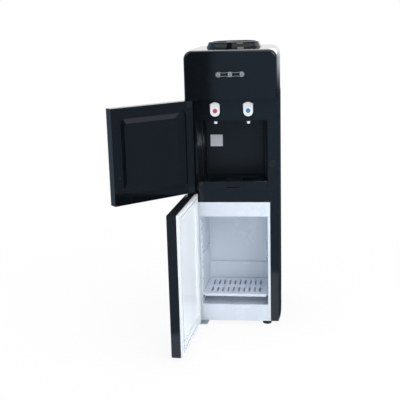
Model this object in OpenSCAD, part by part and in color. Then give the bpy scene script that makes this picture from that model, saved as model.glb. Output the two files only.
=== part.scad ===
// Top load water cooler with a taps bay behind an upper door and a storage cabinet behind a lower door.
// Millimetres. Origin on the floor at the centre of the cabinet, front towards -Y, up is +Z.
// Both doors are drawn open, as in use, hinged on the left.

/* [Cabinet] */
// Greatest width, across the swollen cheeks of the front mouldings
body_w = 310; // [304:1:320]
// Depth from the face of the head to the back edge
body_d = 360; // [354:1:376]
// Height of the flat top above the floor
body_h = 929; // [921:1:945]
// Width of the flat front face between the cheeks
face_w = 292; // [288:1:296]
// Depth over which each cheek swells to the full width
cheek_d = 100; // [90:1:110]
// How far the steel sides stand inside the greatest width
side_inset = 4; // [3.6:0.2:6]
// Thickness of the steel sheets
sheet_t = 1.2; // [0.8:0.1:1.6]
// Wall of the plastic mouldings
wall_t = 3; // [2.5:0.1:3.3]
// Height of the feet
foot_h = 12; // [12:1:16]
// Diameter of a foot
foot_d = 30; // [24:1:34]

/* [Head] */
// Height of the head above the upper door
head_h = 153; // [149:1:157]
// Radius of the head's top corners, seen from the front
head_corner_r = 28; // [20:1:34]
// Size of the rounded edge between the face and the top
head_edge = 10; // [7:0.5:12]
// Radius of the head's back corners, seen from above
head_back_r = 24; // [12:1:28]
// Spacing of the indicator lights
light_pitch = 37; // [34:0.5:40]
// Height of the indicator lights above the head's bottom edge
light_rise = 77; // [65:1:90]
// Radius of an indicator's ring
light_ring_r = 8.4; // [7.6:0.1:9]
// Radius of an indicator's lens
light_lens_r = 4.2; // [3.4:0.1:4.8]

/* [Bottle seat] */
// Depth of the collar's centre behind the front face
collar_y = 184; // [180:1:188]
// Radius of the collar where it meets the top
collar_base_r = 92; // [89:0.5:96]
// Radius of the collar at its rounded rim
collar_rim_r = 85; // [83:0.5:87]
// Height of the collar above the top
collar_h = 21; // [18:0.5:26]
// Radius of the collar's mouth
collar_mouth_r = 72; // [68:0.5:73]
// Radius of the bore that takes the bottle's neck
neck_bore_r = 29; // [28.5:0.1:30]
// Length of the neck bore
neck_bore_l = 32; // [26:1:34]

/* [Taps and bay] */
// Spacing of the two taps
tap_pitch = 107; // [100:1:112]
// Height of the lever pivots above the bay's roof
tap_rise = 51; // [50:0.5:53]
// Width of a lever's shield
lever_w = 31; // [28:0.5:33]
// Height of a lever's shield
lever_h = 46; // [44:0.5:48]
// Thickness of a lever's shield
lever_t = 4.5; // [3.5:0.1:5]
// Gap between a lever and the pocket round it
pocket_gap = 3.6; // [3:0.1:4]
// Radius of a lever's steel pin
lever_pin_r = 1.5; // [1.2:0.1:1.8]
// Radius of the coloured button in a lever
button_r = 7; // [6:0.1:7.5]
// Width of the dispensing bay at its mouth
bay_w = 230; // [224:1:234]
// Width of the dispensing bay at its back wall
bay_back_w = 194; // [188:1:200]
// Depth of the bay behind the tap panel
bay_d = 127; // [122:1:130]
// Height of the bay's mouth
bay_h = 223; // [219:1:224]
// Height of the bay's floor above the seam between the doors
bay_sill = 11; // [8:0.5:12]
// Height of the drip tray
tray_h = 21; // [18:0.5:26]

/* [Doors] */
// Width of both doors
door_w = 298; // [295:0.5:300]
// Thickness of a door's black shell
door_t = 30; // [29:0.5:32]
// Thickness of the white liner on the lower door
door_liner_t = 8; // [7.5:0.5:9]
// Gap between a closed door and the frame behind it
door_gap = 3; // [2.8:0.1:3.6]
// Height of the lower door
lower_door_h = 453; // [449:0.5:455]
// Gap between the two doors
door_split = 5; // [4.6:0.1:6]
// Distance of the hinge axis from the doors' hinged edge
hinge_edge = 9; // [8.5:0.5:9.5]
// Distance of the hinge axis from the doors' outer face
hinge_face = 14.5; // [14:0.1:15.5]
// Radius of the hinge pins
pin_r = 4; // [3.5:0.1:4.4]
// Radial clearance of a pin in its bush
pin_clearance = 0.06; // [0.03:0.01:0.1]
// Angle at which the upper door stands open
upper_open = 138; // [120:1:150]
// Angle at which the lower door stands open
lower_open = 94; // [90:1:120]
// Width of the flat rim round the upper door's recessed panel
upper_rim = 26; // [26:0.5:30]
// Depth of the upper door's recessed panel
upper_recess = 13; // [9:0.5:16]

/* [Storage cabinet] */
// Width of the white frame round the cavity
store_frame_w = 242; // [236:1:246]
// Height of the white frame's top above the floor
store_top_z = 430; // [424:1:436]
// Width of the cavity's mouth
store_open_w = 226; // [220:1:228]
// Height of the frame above the cavity's mouth
store_band_top = 49; // [44:1:54]
// Height of the sill under the cavity's mouth
store_sill = 58; // [54:1:62]
// Depth of the cavity above its step
store_d = 199; // [192:1:203]
// Depth of the step in the cavity's back wall, over the compressor
store_step = 12; // [10:1:16]
// Height of that step above the floor
store_step_z = 164; // [160:1:172]
// Draft of each side wall over the cavity's depth
store_draft = 9; // [7:0.5:10]
// Height of the shelf's top above the sill
shelf_rise = 34; // [30:1:40]
// Height of the spare upper runners above the sill
runner_rise = 168; // [150:1:190]
// Slots in each of the shelf's two rows
slot_count = 10; // [8:1:11]

/* [Cooling and heating] */
// Radius of the compressor's can
compressor_r = 52; // [46:1:53]
// Height of the compressor's can
compressor_h = 118; // [104:1:122]
// Radius of the condenser's tube
condenser_tube_r = 2.4; // [2:0.1:2.8]
// Number of horizontal runs of the condenser's tube
condenser_runs = 9; // [7:2:13]
// Height over which those runs are spread
condenser_h = 256; // [230:2:264]
// Number of upright wires on each side of the condenser
condenser_wires_n = 15; // [9:1:19]
// Radius of the cold tank
cold_tank_r = 60; // [54:1:61]
// Radius of the hot tank
hot_tank_r = 45; // [40:1:46]
// Height of the hot tank
hot_tank_h = 150; // [130:1:155]

/* [Hidden] */
$fn = 48;

gloss = [0.05, 0.055, 0.065];
satin = [0.1, 0.1, 0.11];
white = [0.9, 0.93, 0.96];
steel_grey = [0.62, 0.65, 0.67];
foam_cream = [0.93, 0.9, 0.8];
copper = [0.75, 0.45, 0.3];

// Fits, and the reach of a cut past its face
seat_gap = 0.3;
press_gap = 0.02;
cut = 1;

// Cabinet. Depths are measured back from the front face.
half_w = body_w / 2;
cheek_sag = (body_w - face_w) / 2;
side_x = half_w - side_inset;
inner_x = side_x - sheet_t - seat_gap;
head_z = body_h - head_h;
head_back_edge = 5;
back_panel_y = body_d - 30;
light_z = head_z + light_rise;

// Doors and hinges
hinge_plate_t = 2.8;
hinge_r = 9;
bush_r = pin_r + 2.4;
bush_l = 16;
door_wall = 2.5;
corner_w = 2 * hinge_edge + 6;
corner_h = bush_l + 6;
lower_door_z = foot_h + 0.6;
lower_door_top = lower_door_z + lower_door_h;
upper_door_z = lower_door_top + door_split;
door_top_gap = hinge_plate_t + 4 * seat_gap;
upper_door_h = head_z - door_top_gap - upper_door_z;
seam_z = upper_door_z - 0.6;
tap_y = door_t + door_gap;
store_y = door_t + door_liner_t + door_gap;
hinge_x = -door_w / 2 + hinge_edge;
panel_step = 4;
panel_ledge = 9;
liner_inset = 0.8;
groove_inset = 13;
groove_w = 7;
groove_d = 3;
middle_plate_z = lower_door_top + (door_split - hinge_plate_t) / 2;
tongue_x = -face_w / 2 + 5;
tongue_w = 22;
foot_x = 108;
foot_y = store_y + 16;
foot_stem_r = 7;

// Front frame and bay
frame_back_y = tap_y + cheek_d;
frame_inner_x = face_w / 2 - wall_t - 0.6;
bay_wall = 2.5;
bay_floor_z = seam_z + bay_sill;
bay_top_z = bay_floor_z + bay_h;
tray_back_y = tap_y + bay_d - 11;
tray_gap = 0.8;
tray_wall = 2.2;
tray_ledge = 3;
cover_gap = 1.5;
cover_t = 2.4;
catch_x = (bay_w / 2 + face_w / 2) / 2;
catch_z = upper_door_z + 90;
catch_stem_r = 6;
strike_d = 1.6;

// Taps
pivot_z = bay_top_z + tap_rise;
lever_top_z = pivot_z + 7.5;
lever_y = tap_y - 0.5;
lever_hub_r = 4;
pivot_y = lever_y + lever_t + 5;
button_z = lever_top_z - lever_h + 18;
pocket_half = lever_w / 2 + pocket_gap;
pocket_round_z = lever_top_z - lever_h + lever_w / 2;
pocket_top_z = lever_top_z + pocket_gap;
pocket_tip_z = bay_top_z + 5.6;
pocket_d = 12;
tap_body_y = tap_y + wall_t + seat_gap;
barrel_r = 7.6;
spout_y = tap_y + wall_t + 9.5;
hose_r = 5;
hose_bend = 9;
stub_wall = 1.5;
tail_end_y = tap_body_y + pocket_d + 29;

// Storage cabinet
store_bottom_z = foot_h + store_sill;
store_open_top = store_top_z - store_band_top;
store_back_y = store_y + store_d;
store_wall = 2.5;
core_step = 0.4;
store_floor_z = store_bottom_z - 6;
store_low_back = store_back_y - store_step;
foam_back_low = store_low_back + 12;
shelf_t = 2.8;
shelf_z = store_bottom_z + shelf_rise;
runner_z = store_bottom_z + runner_rise;

// Bottle seat and cold tank
collar_neck_r = collar_mouth_r + 6;
seat_lip_z = body_h - 12 - seat_gap;
neck_bore_top = seat_lip_z - 16;
neck_bore_end = neck_bore_top - neck_bore_l;
seat_bottom_z = neck_bore_end - 3;
tank_shelf_z = bay_top_z + bay_wall + 1.5;
tank_z = tank_shelf_z + 22;
tank_wall = 1.5;
stub_l = 7;
tail_z = tank_z + 12;
cold_stub_y = tail_end_y + 2 * hose_bend + 2;
foam_r = collar_y - tail_end_y - hose_bend - hose_r - 5;
chill_tube_r = 3;
sleeve_l = 6;
sleeve_t = 0.7;
chill_r = cold_tank_r + chill_tube_r + sleeve_t + seat_gap;
chill_pitch = 18;
chill_turns = 5;
chill_link = 0.5;
chill_z = tank_z + 20;
tube_bend = 8;
pipe_pocket_x = 36;
pipe_pocket_y = collar_y + chill_r - 12;
pipe_pocket_d = 22;

// Hot tank and drain
hot_tank_x = -70;
hot_tank_y = 250;
hot_tank_top = tank_shelf_z - 18;
hot_tank_z = hot_tank_top - hot_tank_h;
hot_inlet_z = hot_tank_top - 50;
hot_outlet_x = hot_tank_x - 30;
hot_stub_l = 9;
drain_stub_l = 12;
drain_z = hot_tank_z - 30;
drain_r = 9;
cap_r = 12.5;

// Cooling
pan_top_z = foot_h + sheet_t;
grommet_h = 10;
plate_t = 3;
mount_x = 62;
mount_y = 38;
compressor_x = -40;
compressor_y = foam_back_low + seat_gap + 55;
can_z = pan_top_z + grommet_h + plate_t;
stub_rise = 16;
stub_top_z = can_z + compressor_h + stub_rise;
discharge_at = [22, 16];
suction_at = [-14, 8];
condenser_x = 100;
condenser_y = back_panel_y + 14;
condenser_z = 205;
condenser_pitch = condenser_h / (condenser_runs - 1);
condenser_top = condenser_z + condenser_h;
return_x = condenser_x + condenser_pitch / 2 + 10;
wire_r = 0.8;
wire_gap = 0.05;
drier_r = 9;
drier_top = 150;
drier_l = 76;

// Switches and cord
rocker_r = 9;
rocker_w = 17;
rocker_gap = 0.4;
rocker_y = -4;
switch_z = bay_top_z - 64;
switch_half_w = rocker_w + 2 * rocker_gap + 3;
switch_half_h = rocker_r + seat_gap + 1.7;
gland_x = 105;
gland_z = condenser_top + 40;
gland_r = 8;

// Placing and plain forms

// Everything inside is placed by its depth behind the front face.
module from_front() {
    translate([0, -body_d / 2, 0]) children();
}

// A piece and its twin on the other side.
module both_sides() {
    children();
    mirror([1, 0, 0]) children();
}

// The same piece on the left side alone.
module on_left() {
    mirror([1, 0, 0]) children();
}

// Box centred on X.
module wide_box(w, y, z, d, h) {
    translate([-w / 2, y, z]) cube([w, d, h]);
}

// Rod along +Y, with its front end at the given place.
module rod_y(x, y, z, r, l) {
    translate([x, y, z]) rotate([-90, 0, 0]) cylinder(r = r, h = l);
}

// Rod along +X.
module rod_x(x, y, z, r, l) {
    translate([x, y, z]) rotate([0, 90, 0]) cylinder(r = r, h = l);
}

// Rectangle with true round corners.
module round_rect(w, h, r) {
    translate([r, 0]) square([w - 2 * r, h]);
    translate([0, r]) square([w, h - 2 * r]);
    for (x = [r, w - r]) {
        for (y = [r, h - r]) {
            translate([x, y]) circle(r = r);
        }
    }
}

// The same, with its middle on X = 0 and its lower edge at z.
module round_panel(w, h, r, z) {
    translate([-w / 2, z]) round_rect(w, h, r);
}

// A flat shape drawn in X and Z, given a thickness in depth from y.
module upright(y, t) {
    translate([0, y + t, 0]) rotate([90, 0, 0]) linear_extrude(t) children();
}

// Plan of the front mouldings: flat front, and cheeks that swell as arcs to the full width.
module cheek_plan(front, half) {
    arc_r = cheek_d * cheek_d / (2 * cheek_sag) + cheek_sag / 2;
    intersection() {
        translate([-half - cut, front]) square([2 * half + 2 * cut, cheek_d]);
        translate([half - arc_r, front + cheek_d]) circle(r = arc_r, $fn = 720);
        translate([arc_r - half, front + cheek_d]) circle(r = arc_r, $fn = 720);
    }
}

// A slab whose edges round the outer face are rounded. Its outer face is at y = 0.
module soft_slab(w, t, h, r) {
    intersection() {
        linear_extrude(h) {
            translate([r, 0]) square([w - 2 * r, t]);
            translate([0, r]) square([w, t - r]);
            for (x = [r, w - r]) {
                translate([x, r]) circle(r = r);
            }
        }
        rotate([90, 0, 90]) linear_extrude(w) {
            translate([0, r]) square([t, h - 2 * r]);
            translate([r, 0]) square([t - r, h]);
            for (z = [r, h - r]) {
                translate([r, z]) circle(r = r);
            }
        }
    }
}

// Turns a closed door about the hinge axis to the angle at which it stands open.
module open_door(angle) {
    translate([hinge_x, hinge_face, 0]) rotate([0, 0, -angle]) translate([-hinge_x, -hinge_face, 0]) children();
}

// Quarter or half bend of a tube, in the XY plane about the origin, starting on +X.
module bend(bend_r, r, angle) {
    rotate_extrude(angle = angle) {
        translate([bend_r, 0]) circle(r = r);
    }
}

// Tube along +Z that turns by right angles. Each step is a length and the heading of the bend after it.
module bent_tube(steps, r, bend_r, i = 0) {
    cylinder(r = r, h = steps[i][0]);
    if (i < len(steps) - 1) {
        translate([0, 0, steps[i][0]]) rotate([0, 0, steps[i][1]]) {
            translate([bend_r, 0, 0]) rotate([90, 0, 0]) rotate([0, 0, 90]) bend(bend_r, r, 90);
            translate([bend_r, 0, bend_r]) rotate([0, 90, 0]) bent_tube(steps, r, bend_r, i + 1);
        }
    }
}

// Cabinet

// Plan of the base pan: narrow between the front cheeks, wide between the steel sides.
module pan_plan(inset) {
    front_y = store_y + wall_t + seat_gap + inset;
    front_x = frame_inner_x - inset;
    wide_y = frame_back_y + 1 + inset;
    rear_y = body_d - 3 - inset;
    translate([-front_x, front_y]) square([2 * front_x, rear_y - front_y]);
    translate([-inner_x + inset, wide_y]) square([2 * (inner_x - inset), rear_y - wide_y]);
}

// Steel floor with a folded edge. It carries the compressor and the storage tub.
module base_pan() {
    rim_h = 14;
    vent_r = 8;
    color(satin) from_front() difference() {
        translate([0, 0, foot_h]) linear_extrude(rim_h) pan_plan(0);
        translate([0, 0, pan_top_z]) linear_extrude(rim_h) pan_plan(sheet_t);
        for (x = [50, 75, 100]) {
            translate([x, body_d - 60, foot_h - cut]) cylinder(r = vent_r, h = sheet_t + 2 * cut);
        }
    }
}

// Steel side with a flange folded in along its back edge.
module right_side_panel() {
    front_y = frame_back_y - 14;
    back_y = body_d - 2;
    sheet_h = head_z - foot_h - seat_gap;
    flange_w = 15;
    flange_z = foot_h + 16;
    color(gloss) from_front() {
        translate([side_x - sheet_t, front_y, foot_h]) cube([sheet_t, back_y - front_y, sheet_h]);
        translate([side_x - flange_w, back_y - sheet_t, flange_z]) cube([flange_w, sheet_t, sheet_h - 40]);
    }
}

module left_side_panel() {
    on_left() right_side_panel();
}

// Upper back sheet with side folds and louvres. The compressor's space below it is open to the air.
module back_panel() {
    panel_z = condenser_z - 17;
    panel_h = head_z - seat_gap - panel_z;
    fold_d = body_d - 4 - back_panel_y;
    through = sheet_t + 2 * cut;
    vent_w = 60;
    vent_h = 4;
    vent_pitch = 9;
    color(satin) from_front() difference() {
        union() {
            wide_box(2 * inner_x, back_panel_y, panel_z, sheet_t, panel_h);
            both_sides() translate([inner_x - sheet_t, back_panel_y, panel_z]) cube([sheet_t, fold_d, panel_h]);
        }
        for (row = [0:4]) {
            both_sides() translate([30, back_panel_y - cut, head_z - 24 - vent_pitch * row])
                cube([vent_w, through, vent_h]);
        }
        wide_box(2 * (switch_half_w + seat_gap), back_panel_y - cut, switch_z - switch_half_h - seat_gap,
            through, 2 * (switch_half_h + seat_gap));
        rod_y(hot_tank_x, back_panel_y - cut, drain_z, drain_r + seat_gap, through);
        rod_y(gland_x, back_panel_y - cut, gland_z, gland_r + seat_gap, through);
    }
}

// Front moulding: tap panel, both columns and the surround of the storage cavity, on one set of cheeks.
module front_frame() {
    frame_h = head_z - seat_gap - foot_h;
    through = wall_t + 2 * cut;
    web_end_y = frame_back_y - 16;
    color(gloss) from_front() difference() {
        translate([0, 0, foot_h]) linear_extrude(frame_h) cheek_plan(tap_y, half_w);
        translate([0, 0, seam_z + wall_t]) linear_extrude(body_h) cheek_plan(tap_y + wall_t, half_w - wall_t);
        translate([0, 0, foot_h - cut]) linear_extrude(seam_z - foot_h + cut)
            cheek_plan(store_y + wall_t, half_w - wall_t);
        wide_box(2 * (half_w - wall_t - 0.5), web_end_y, seam_z - cut, cheek_d, through);
        wide_box(body_w + 2 * cut, tap_y - cut, foot_h - cut, store_y - tap_y + cut, seam_z - foot_h + cut);
        wide_box(bay_w, tap_y - cut, bay_floor_z, through, bay_h);
        wide_box(store_frame_w + 2 * seat_gap, store_y - cut, foot_h - cut, through,
            store_top_z + seat_gap - foot_h + cut);
        both_sides() translate([tap_pitch / 2, 0, 0]) upright(tap_y - cut, through) pocket_shape(0);
        rod_y(catch_x, tap_y - cut, catch_z, catch_stem_r + seat_gap, through);
        translate([tongue_x - seat_gap, store_y - cut, middle_plate_z - seat_gap])
            cube([tongue_w + 2 * seat_gap, through, seam_z - middle_plate_z + seat_gap]);
    }
}

// How far a round edge of radius r has fallen away, at a distance from the face where it ends.
function round_off(distance, r) = distance >= r ? 0 : r - sqrt(r * r - pow(r - distance, 2));

// Half width of the head at a depth behind its face: cheeks, a slight taper and round back corners.
function head_half(y) = (y < cheek_d
    ? half_w - cheek_sag * pow(1 - y / cheek_d, 2)
    : half_w - (side_inset + 2) * (y - cheek_d) / (body_d - cheek_d)) - round_off(body_d - y, head_back_r);

// One slice of the head, set in by a wall.
module head_slice(y, wall, bottom) {
    fall = round_off(y, head_edge);
    half = head_half(y) - 0.35 * fall - wall;
    top = body_h - fall - round_off(body_d - y, head_back_edge) - wall;
    r = head_corner_r - 0.4 * fall;
    slice_t = 0.01;
    upright(min(max(y, wall), body_d - wall - slice_t), slice_t) {
        translate([-half, bottom]) square([2 * half, top - r - bottom]);
        both_sides() translate([half - r, top - r]) circle(r = r);
    }
}

// The head's outline drawn through its slices, closest together where its edges are round.
module head_form(wall, bottom) {
    front_slices = [for (a = [0:15:90]) head_edge * (1 - cos(a))];
    cheek_slices = [for (i = [1:4]) head_edge + i * (cheek_d - head_edge) / 4];
    back_slices = [for (a = [0:15:75]) body_d - head_back_r * (1 - sin(a))];
    hull() {
        for (y = concat(front_slices, cheek_slices, back_slices, [body_d])) {
            head_slice(y, wall, bottom);
        }
    }
}

// Head moulding, with an underside that overhangs the upper door.
module head_shell() {
    rim = 7;
    open_y = tap_y + wall_t + rim;
    color(gloss) from_front() difference() {
        head_form(0, head_z);
        head_form(wall_t, head_z + wall_t);
        wide_box(2 * (side_x - rim), open_y, head_z - cut, body_d - head_back_r - open_y, wall_t + 2 * cut);
        translate([0, collar_y, body_h - 10]) cylinder(r = collar_neck_r + seat_gap, h = 20);
        for (i = [-1:1]) {
            rod_y(i * light_pitch, -cut, light_z, light_lens_r + 0.2, wall_t + 2 * cut);
        }
    }
}

// Outline that links the three lights, waisted between them.
module bezel_outline(shrink) {
    waist_r = 34;
    bar_h = 6.9;
    waist_h = 5.4;
    difference() {
        union() {
            for (i = [-1:1]) {
                translate([i * light_pitch, 0]) circle(r = light_ring_r - shrink);
            }
            translate([-light_pitch, shrink - bar_h]) square([2 * light_pitch, 2 * (bar_h - shrink)]);
        }
        for (i = [-0.5, 0.5]) {
            for (side = [-1, 1]) {
                translate([i * light_pitch, side * (waist_h + waist_r - shrink)]) circle(r = waist_r, $fn = 180);
            }
        }
    }
}

// Silver surround of the lights: an outline and three rings, open between them.
module indicator_bezel() {
    bezel_t = 0.8;
    line_w = 1.1;
    ring_w = 2.4;
    color(steel_grey) from_front() translate([0, 0, light_z]) upright(-bezel_t, bezel_t) difference() {
        bezel_outline(0);
        for (i = [-1:1]) {
            translate([i * light_pitch, 0]) circle(r = light_lens_r + 0.2);
        }
        difference() {
            bezel_outline(line_w);
            for (i = [-1:1]) {
                translate([i * light_pitch, 0]) circle(r = light_lens_r + ring_w);
            }
        }
    }
}

// Three clear light pipes, domed in front and shouldered behind the head's wall.
module indicator_lenses() {
    dome = 0.9;
    shoulder = dome + wall_t + seat_gap;
    shoulder_r = light_lens_r + 1.4;
    end = shoulder + 2;
    color([0.85, 0.88, 0.9]) from_front() for (i = [-1:1]) {
        translate([i * light_pitch, -dome, light_z]) rotate([-90, 0, 0]) rotate_extrude() {
            polygon([[0, 0], [light_lens_r * 0.6, 0.12], [light_lens_r * 0.9, 0.5], [light_lens_r, dome],
                [light_lens_r, shoulder], [shoulder_r, shoulder], [shoulder_r, end], [0, end]]);
        }
    }
}

// Circuit board with the three lamps, on two posts behind the lenses.
module indicator_board() {
    board_y = wall_t + 2 * seat_gap + 2;
    board_w = 2 * light_pitch + 30;
    board_t = 1.6;
    color([0.1, 0.35, 0.18]) from_front() {
        wide_box(board_w, board_y, light_z - 12, board_t, 24);
        both_sides() rod_y(board_w / 2 - 5, wall_t, light_z + 7, 2.5, board_y - wall_t);
        wide_box(20, board_y + board_t, light_z - 8, 5, 8);
    }
}

// Bottle seat

// Conical ring, hollow below, with a rolled rim and a neck through the head.
module bottle_collar() {
    roll_r = 5;
    top_z = body_h + collar_h;
    roll_x = collar_rim_r - roll_r;
    roll = [for (a = [0:15:180]) [roll_x + roll_r * cos(a), top_z - roll_r + roll_r * sin(a)]];
    neck_end_z = seat_lip_z + seat_gap;
    color(gloss) from_front() translate([0, collar_y, 0]) rotate_extrude($fn = 96) difference() {
        polygon(concat([[collar_mouth_r, neck_end_z], [collar_neck_r, neck_end_z], [collar_neck_r, body_h],
            [collar_base_r, body_h], [collar_base_r - 0.6, body_h + 3]], roll,
            [[collar_mouth_r + 1, top_z - roll_r - 4], [collar_mouth_r, body_h]]));
        polygon([[collar_neck_r + 2, body_h - cut], [collar_base_r - 3, body_h - cut],
            [collar_rim_r - 3, top_z - 9], [collar_neck_r + 2, top_z - 9]]);
    }
}

// Funnel that guides the bottle's neck into its bore. Its skirt is the lid of the cold tank.
module bottle_seat() {
    flange_t = 4;
    lid_t = 2;
    mouth_r = neck_bore_r - 8;
    sleeve_r = neck_bore_r + 3;
    lid_r = cold_tank_r + 1;
    color(satin) from_front() translate([0, collar_y, 0]) rotate_extrude($fn = 96) {
        polygon([[mouth_r, seat_bottom_z], [lid_r, seat_bottom_z], [lid_r, seat_bottom_z + lid_t],
            [sleeve_r, seat_bottom_z + lid_t], [sleeve_r, neck_bore_top - 4],
            [collar_mouth_r - 4, seat_lip_z - flange_t], [collar_neck_r, seat_lip_z - flange_t],
            [collar_neck_r, seat_lip_z], [collar_mouth_r, seat_lip_z], [neck_bore_r, neck_bore_top],
            [neck_bore_r, neck_bore_end], [mouth_r, neck_bore_end]]);
    }
}

// Taps and bay

// Outline of a tap's pocket: arched top, straight sides, and a round bottom drawn down to a point.
module pocket_shape(grow) {
    w = pocket_half + grow;
    top = pocket_top_z + grow;
    tip = pocket_tip_z - grow;
    arch_r = 1.25 * w;
    lean = acos(w / (pocket_round_z - tip));
    touch = (w - 0.05) * [sin(lean), -cos(lean)];
    intersection() {
        translate([-w, pocket_round_z]) square([2 * w, top - pocket_round_z]);
        translate([0, top - arch_r]) circle(r = arch_r, $fn = 96);
    }
    translate([0, pocket_round_z]) circle(r = w, $fn = 96);
    translate([0, pocket_round_z])
        polygon([[-touch[0], touch[1]], [0, tip - pocket_round_z], [touch[0], touch[1]], [0, 0]]);
}

// Valve housing behind the tap panel: a pocket for the lever, a barrel down to the spout and a hose tail.
module cold_tap_body() {
    rim = 2.4;
    valve_y = tap_body_y + pocket_d + 3;
    tail_r = hose_r + 1;
    pin_half = pocket_half + rim + 1;
    color(satin) from_front() translate([tap_pitch / 2, 0, 0]) difference() {
        union() {
            upright(tap_body_y, pocket_d + 3.7) pocket_shape(rim);
            translate([0, spout_y, bay_top_z - 4]) cylinder(r = barrel_r, h = 17);
            rod_y(0, valve_y, tail_z, tail_r + 4, 12);
            rod_y(0, valve_y, tail_z, tail_r, tail_end_y - valve_y);
        }
        upright(tap_body_y - cut, pocket_d + cut) pocket_shape(0);
        translate([0, spout_y, bay_top_z - 5]) cylinder(r = 3.4, h = 9);
        rod_x(-pin_half, pivot_y, pivot_z, lever_pin_r + press_gap, 2 * pin_half);
        rod_y(0, tail_end_y - 12, tail_z, hose_r - stub_wall, 13);
    }
}

module hot_tap_body() {
    on_left() cold_tap_body();
}

// Short white nozzle at the end of a tap's barrel.
module cold_spout() {
    tip_l = 8;
    color(white) from_front() translate([tap_pitch / 2, spout_y, bay_top_z - 4 - tip_l]) rotate_extrude() {
        polygon([[3.4, 0], [5.2, 0], [5.6, 0.6], [5.6, tip_l - 1], [6.4, tip_l - 1], [6.4, tip_l], [3.4, tip_l]]);
    }
}

module hot_spout() {
    on_left() cold_spout();
}

// Outline of a lever: arched top, straight sides and a half-round bottom.
module lever_shape(inset) {
    w = lever_w / 2 - inset;
    top = lever_top_z - inset;
    arch_r = 1.25 * w;
    intersection() {
        translate([-w, pocket_round_z]) square([2 * w, top - pocket_round_z]);
        translate([0, top - arch_r]) circle(r = arch_r, $fn = 96);
    }
    translate([0, pocket_round_z]) circle(r = w, $fn = 96);
}

// Shield that the hand presses, its hub on the pin and a hole for its button.
module cold_lever() {
    hub_w = 26;
    border = 4;
    field_d = 0.6;
    back_y = lever_y + lever_t;
    color(white) from_front() translate([tap_pitch / 2, 0, 0]) difference() {
        union() {
            upright(lever_y, lever_t) lever_shape(0);
            rod_x(-hub_w / 2, pivot_y, pivot_z, lever_hub_r, hub_w);
            wide_box(hub_w, back_y - 0.5, pivot_z - lever_hub_r, pivot_y - back_y + 0.5, 2 * lever_hub_r);
        }
        upright(lever_y - cut, field_d + cut) intersection() {
            lever_shape(border);
            translate([-lever_w / 2, button_z]) square([lever_w, lever_h]);
        }
        rod_x(-hub_w / 2 - cut, pivot_y, pivot_z, lever_pin_r + pin_clearance, hub_w + 2 * cut);
        rod_y(0, lever_y - cut, button_z, button_r + seat_gap, lever_t + 2 * cut);
    }
}

module hot_lever() {
    on_left() cold_lever();
}

// Steel pins that the levers turn on, held in the walls of the tap bodies.
module lever_pins() {
    pin_l = 2 * pocket_half + 4;
    color(steel_grey) from_front() both_sides()
        rod_x(tap_pitch / 2 - pin_l / 2, pivot_y, pivot_z, lever_pin_r, pin_l);
}

// Domed round button with a flange that keeps it behind the shield.
module button_form() {
    stand = 1;
    flange_y = stand + lever_t + 0.4;
    flange_end = flange_y + 1.4;
    flange_r = button_r + 1.6;
    from_front() translate([tap_pitch / 2, lever_y - stand, button_z]) rotate([-90, 0, 0]) rotate_extrude() {
        polygon([[0, 0], [button_r * 0.6, 0.1], [button_r * 0.88, 0.5], [button_r, 1.2], [button_r, flange_y],
            [flange_r, flange_y], [flange_r, flange_end], [0, flange_end]]);
    }
}

module hot_button() {
    color([0.85, 0.2, 0.25]) on_left() button_form();
}

module cold_cap() {
    color([0.25, 0.5, 0.8]) button_form();
}

// Plan of the bay between two depths: its side walls draw in towards the back.
module bay_plan(grow, front, back) {
    slope = (bay_w - bay_back_w) / 2 / bay_d;
    front_x = bay_w / 2 + grow - slope * (front - tap_y);
    back_x = bay_w / 2 + grow - slope * (back - tap_y);
    polygon([[-front_x, front], [front_x, front], [back_x, back], [-back_x, back]]);
}

// Recess for cups: drafted walls with a rib half-way, a roof, a floor and a raised back panel.
module bay_liner() {
    front = tap_body_y;
    back = tap_y + bay_d;
    panel_z = bay_floor_z + tray_h + 14;
    panel_w = bay_back_w - 8;
    panel_t = 2;
    rib_out = 2.6;
    rib_x = (bay_w + bay_back_w) / 4 - rib_out;
    rib_y = tap_y + bay_d / 2;
    flange = 9;
    color(satin) from_front() difference() {
        union() {
            translate([0, 0, bay_floor_z - bay_wall]) linear_extrude(bay_h + 2 * bay_wall)
                bay_plan(bay_wall, front, back + bay_wall);
            wide_box(bay_w + 2 * flange, front, bay_floor_z - bay_wall, bay_wall, bay_h);
        }
        difference() {
            translate([0, 0, bay_floor_z]) linear_extrude(bay_h) bay_plan(0, front - cut, back);
            both_sides() translate([rib_x, rib_y, bay_floor_z + tray_h + 3]) cube([10, 3, bay_h]);
            upright(back - panel_t, panel_t + cut) intersection() {
                round_panel(panel_w, bay_h, 13, panel_z);
                translate([-bay_w / 2, bay_floor_z]) square([bay_w, bay_h]);
            }
        }
        both_sides() translate([tap_pitch / 2, spout_y, bay_top_z - cut])
            cylinder(r = barrel_r + seat_gap, h = bay_wall + 2 * cut);
    }
}

// Tray that slides out of the bay, with a ledge that carries its cover and a notch for a finger.
module drip_tray() {
    z = bay_floor_z + seat_gap;
    h = tray_h - seat_gap;
    deep = tray_wall + tray_ledge;
    cover_z = z + h - cover_t - seat_gap;
    notch = 4;
    color(gloss) from_front() difference() {
        translate([0, 0, z]) linear_extrude(h) bay_plan(-tray_gap, tap_y, tray_back_y);
        translate([0, 0, z + tray_wall]) linear_extrude(h)
            bay_plan(-tray_gap - deep, tap_y + deep, tray_back_y - deep);
        translate([0, 0, cover_z]) linear_extrude(h)
            bay_plan(-tray_gap - tray_wall, tap_y + tray_wall, tray_back_y - tray_wall);
        wide_box(44, tap_y - cut, z - cut, notch + cut, notch + cut);
    }
}

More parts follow.
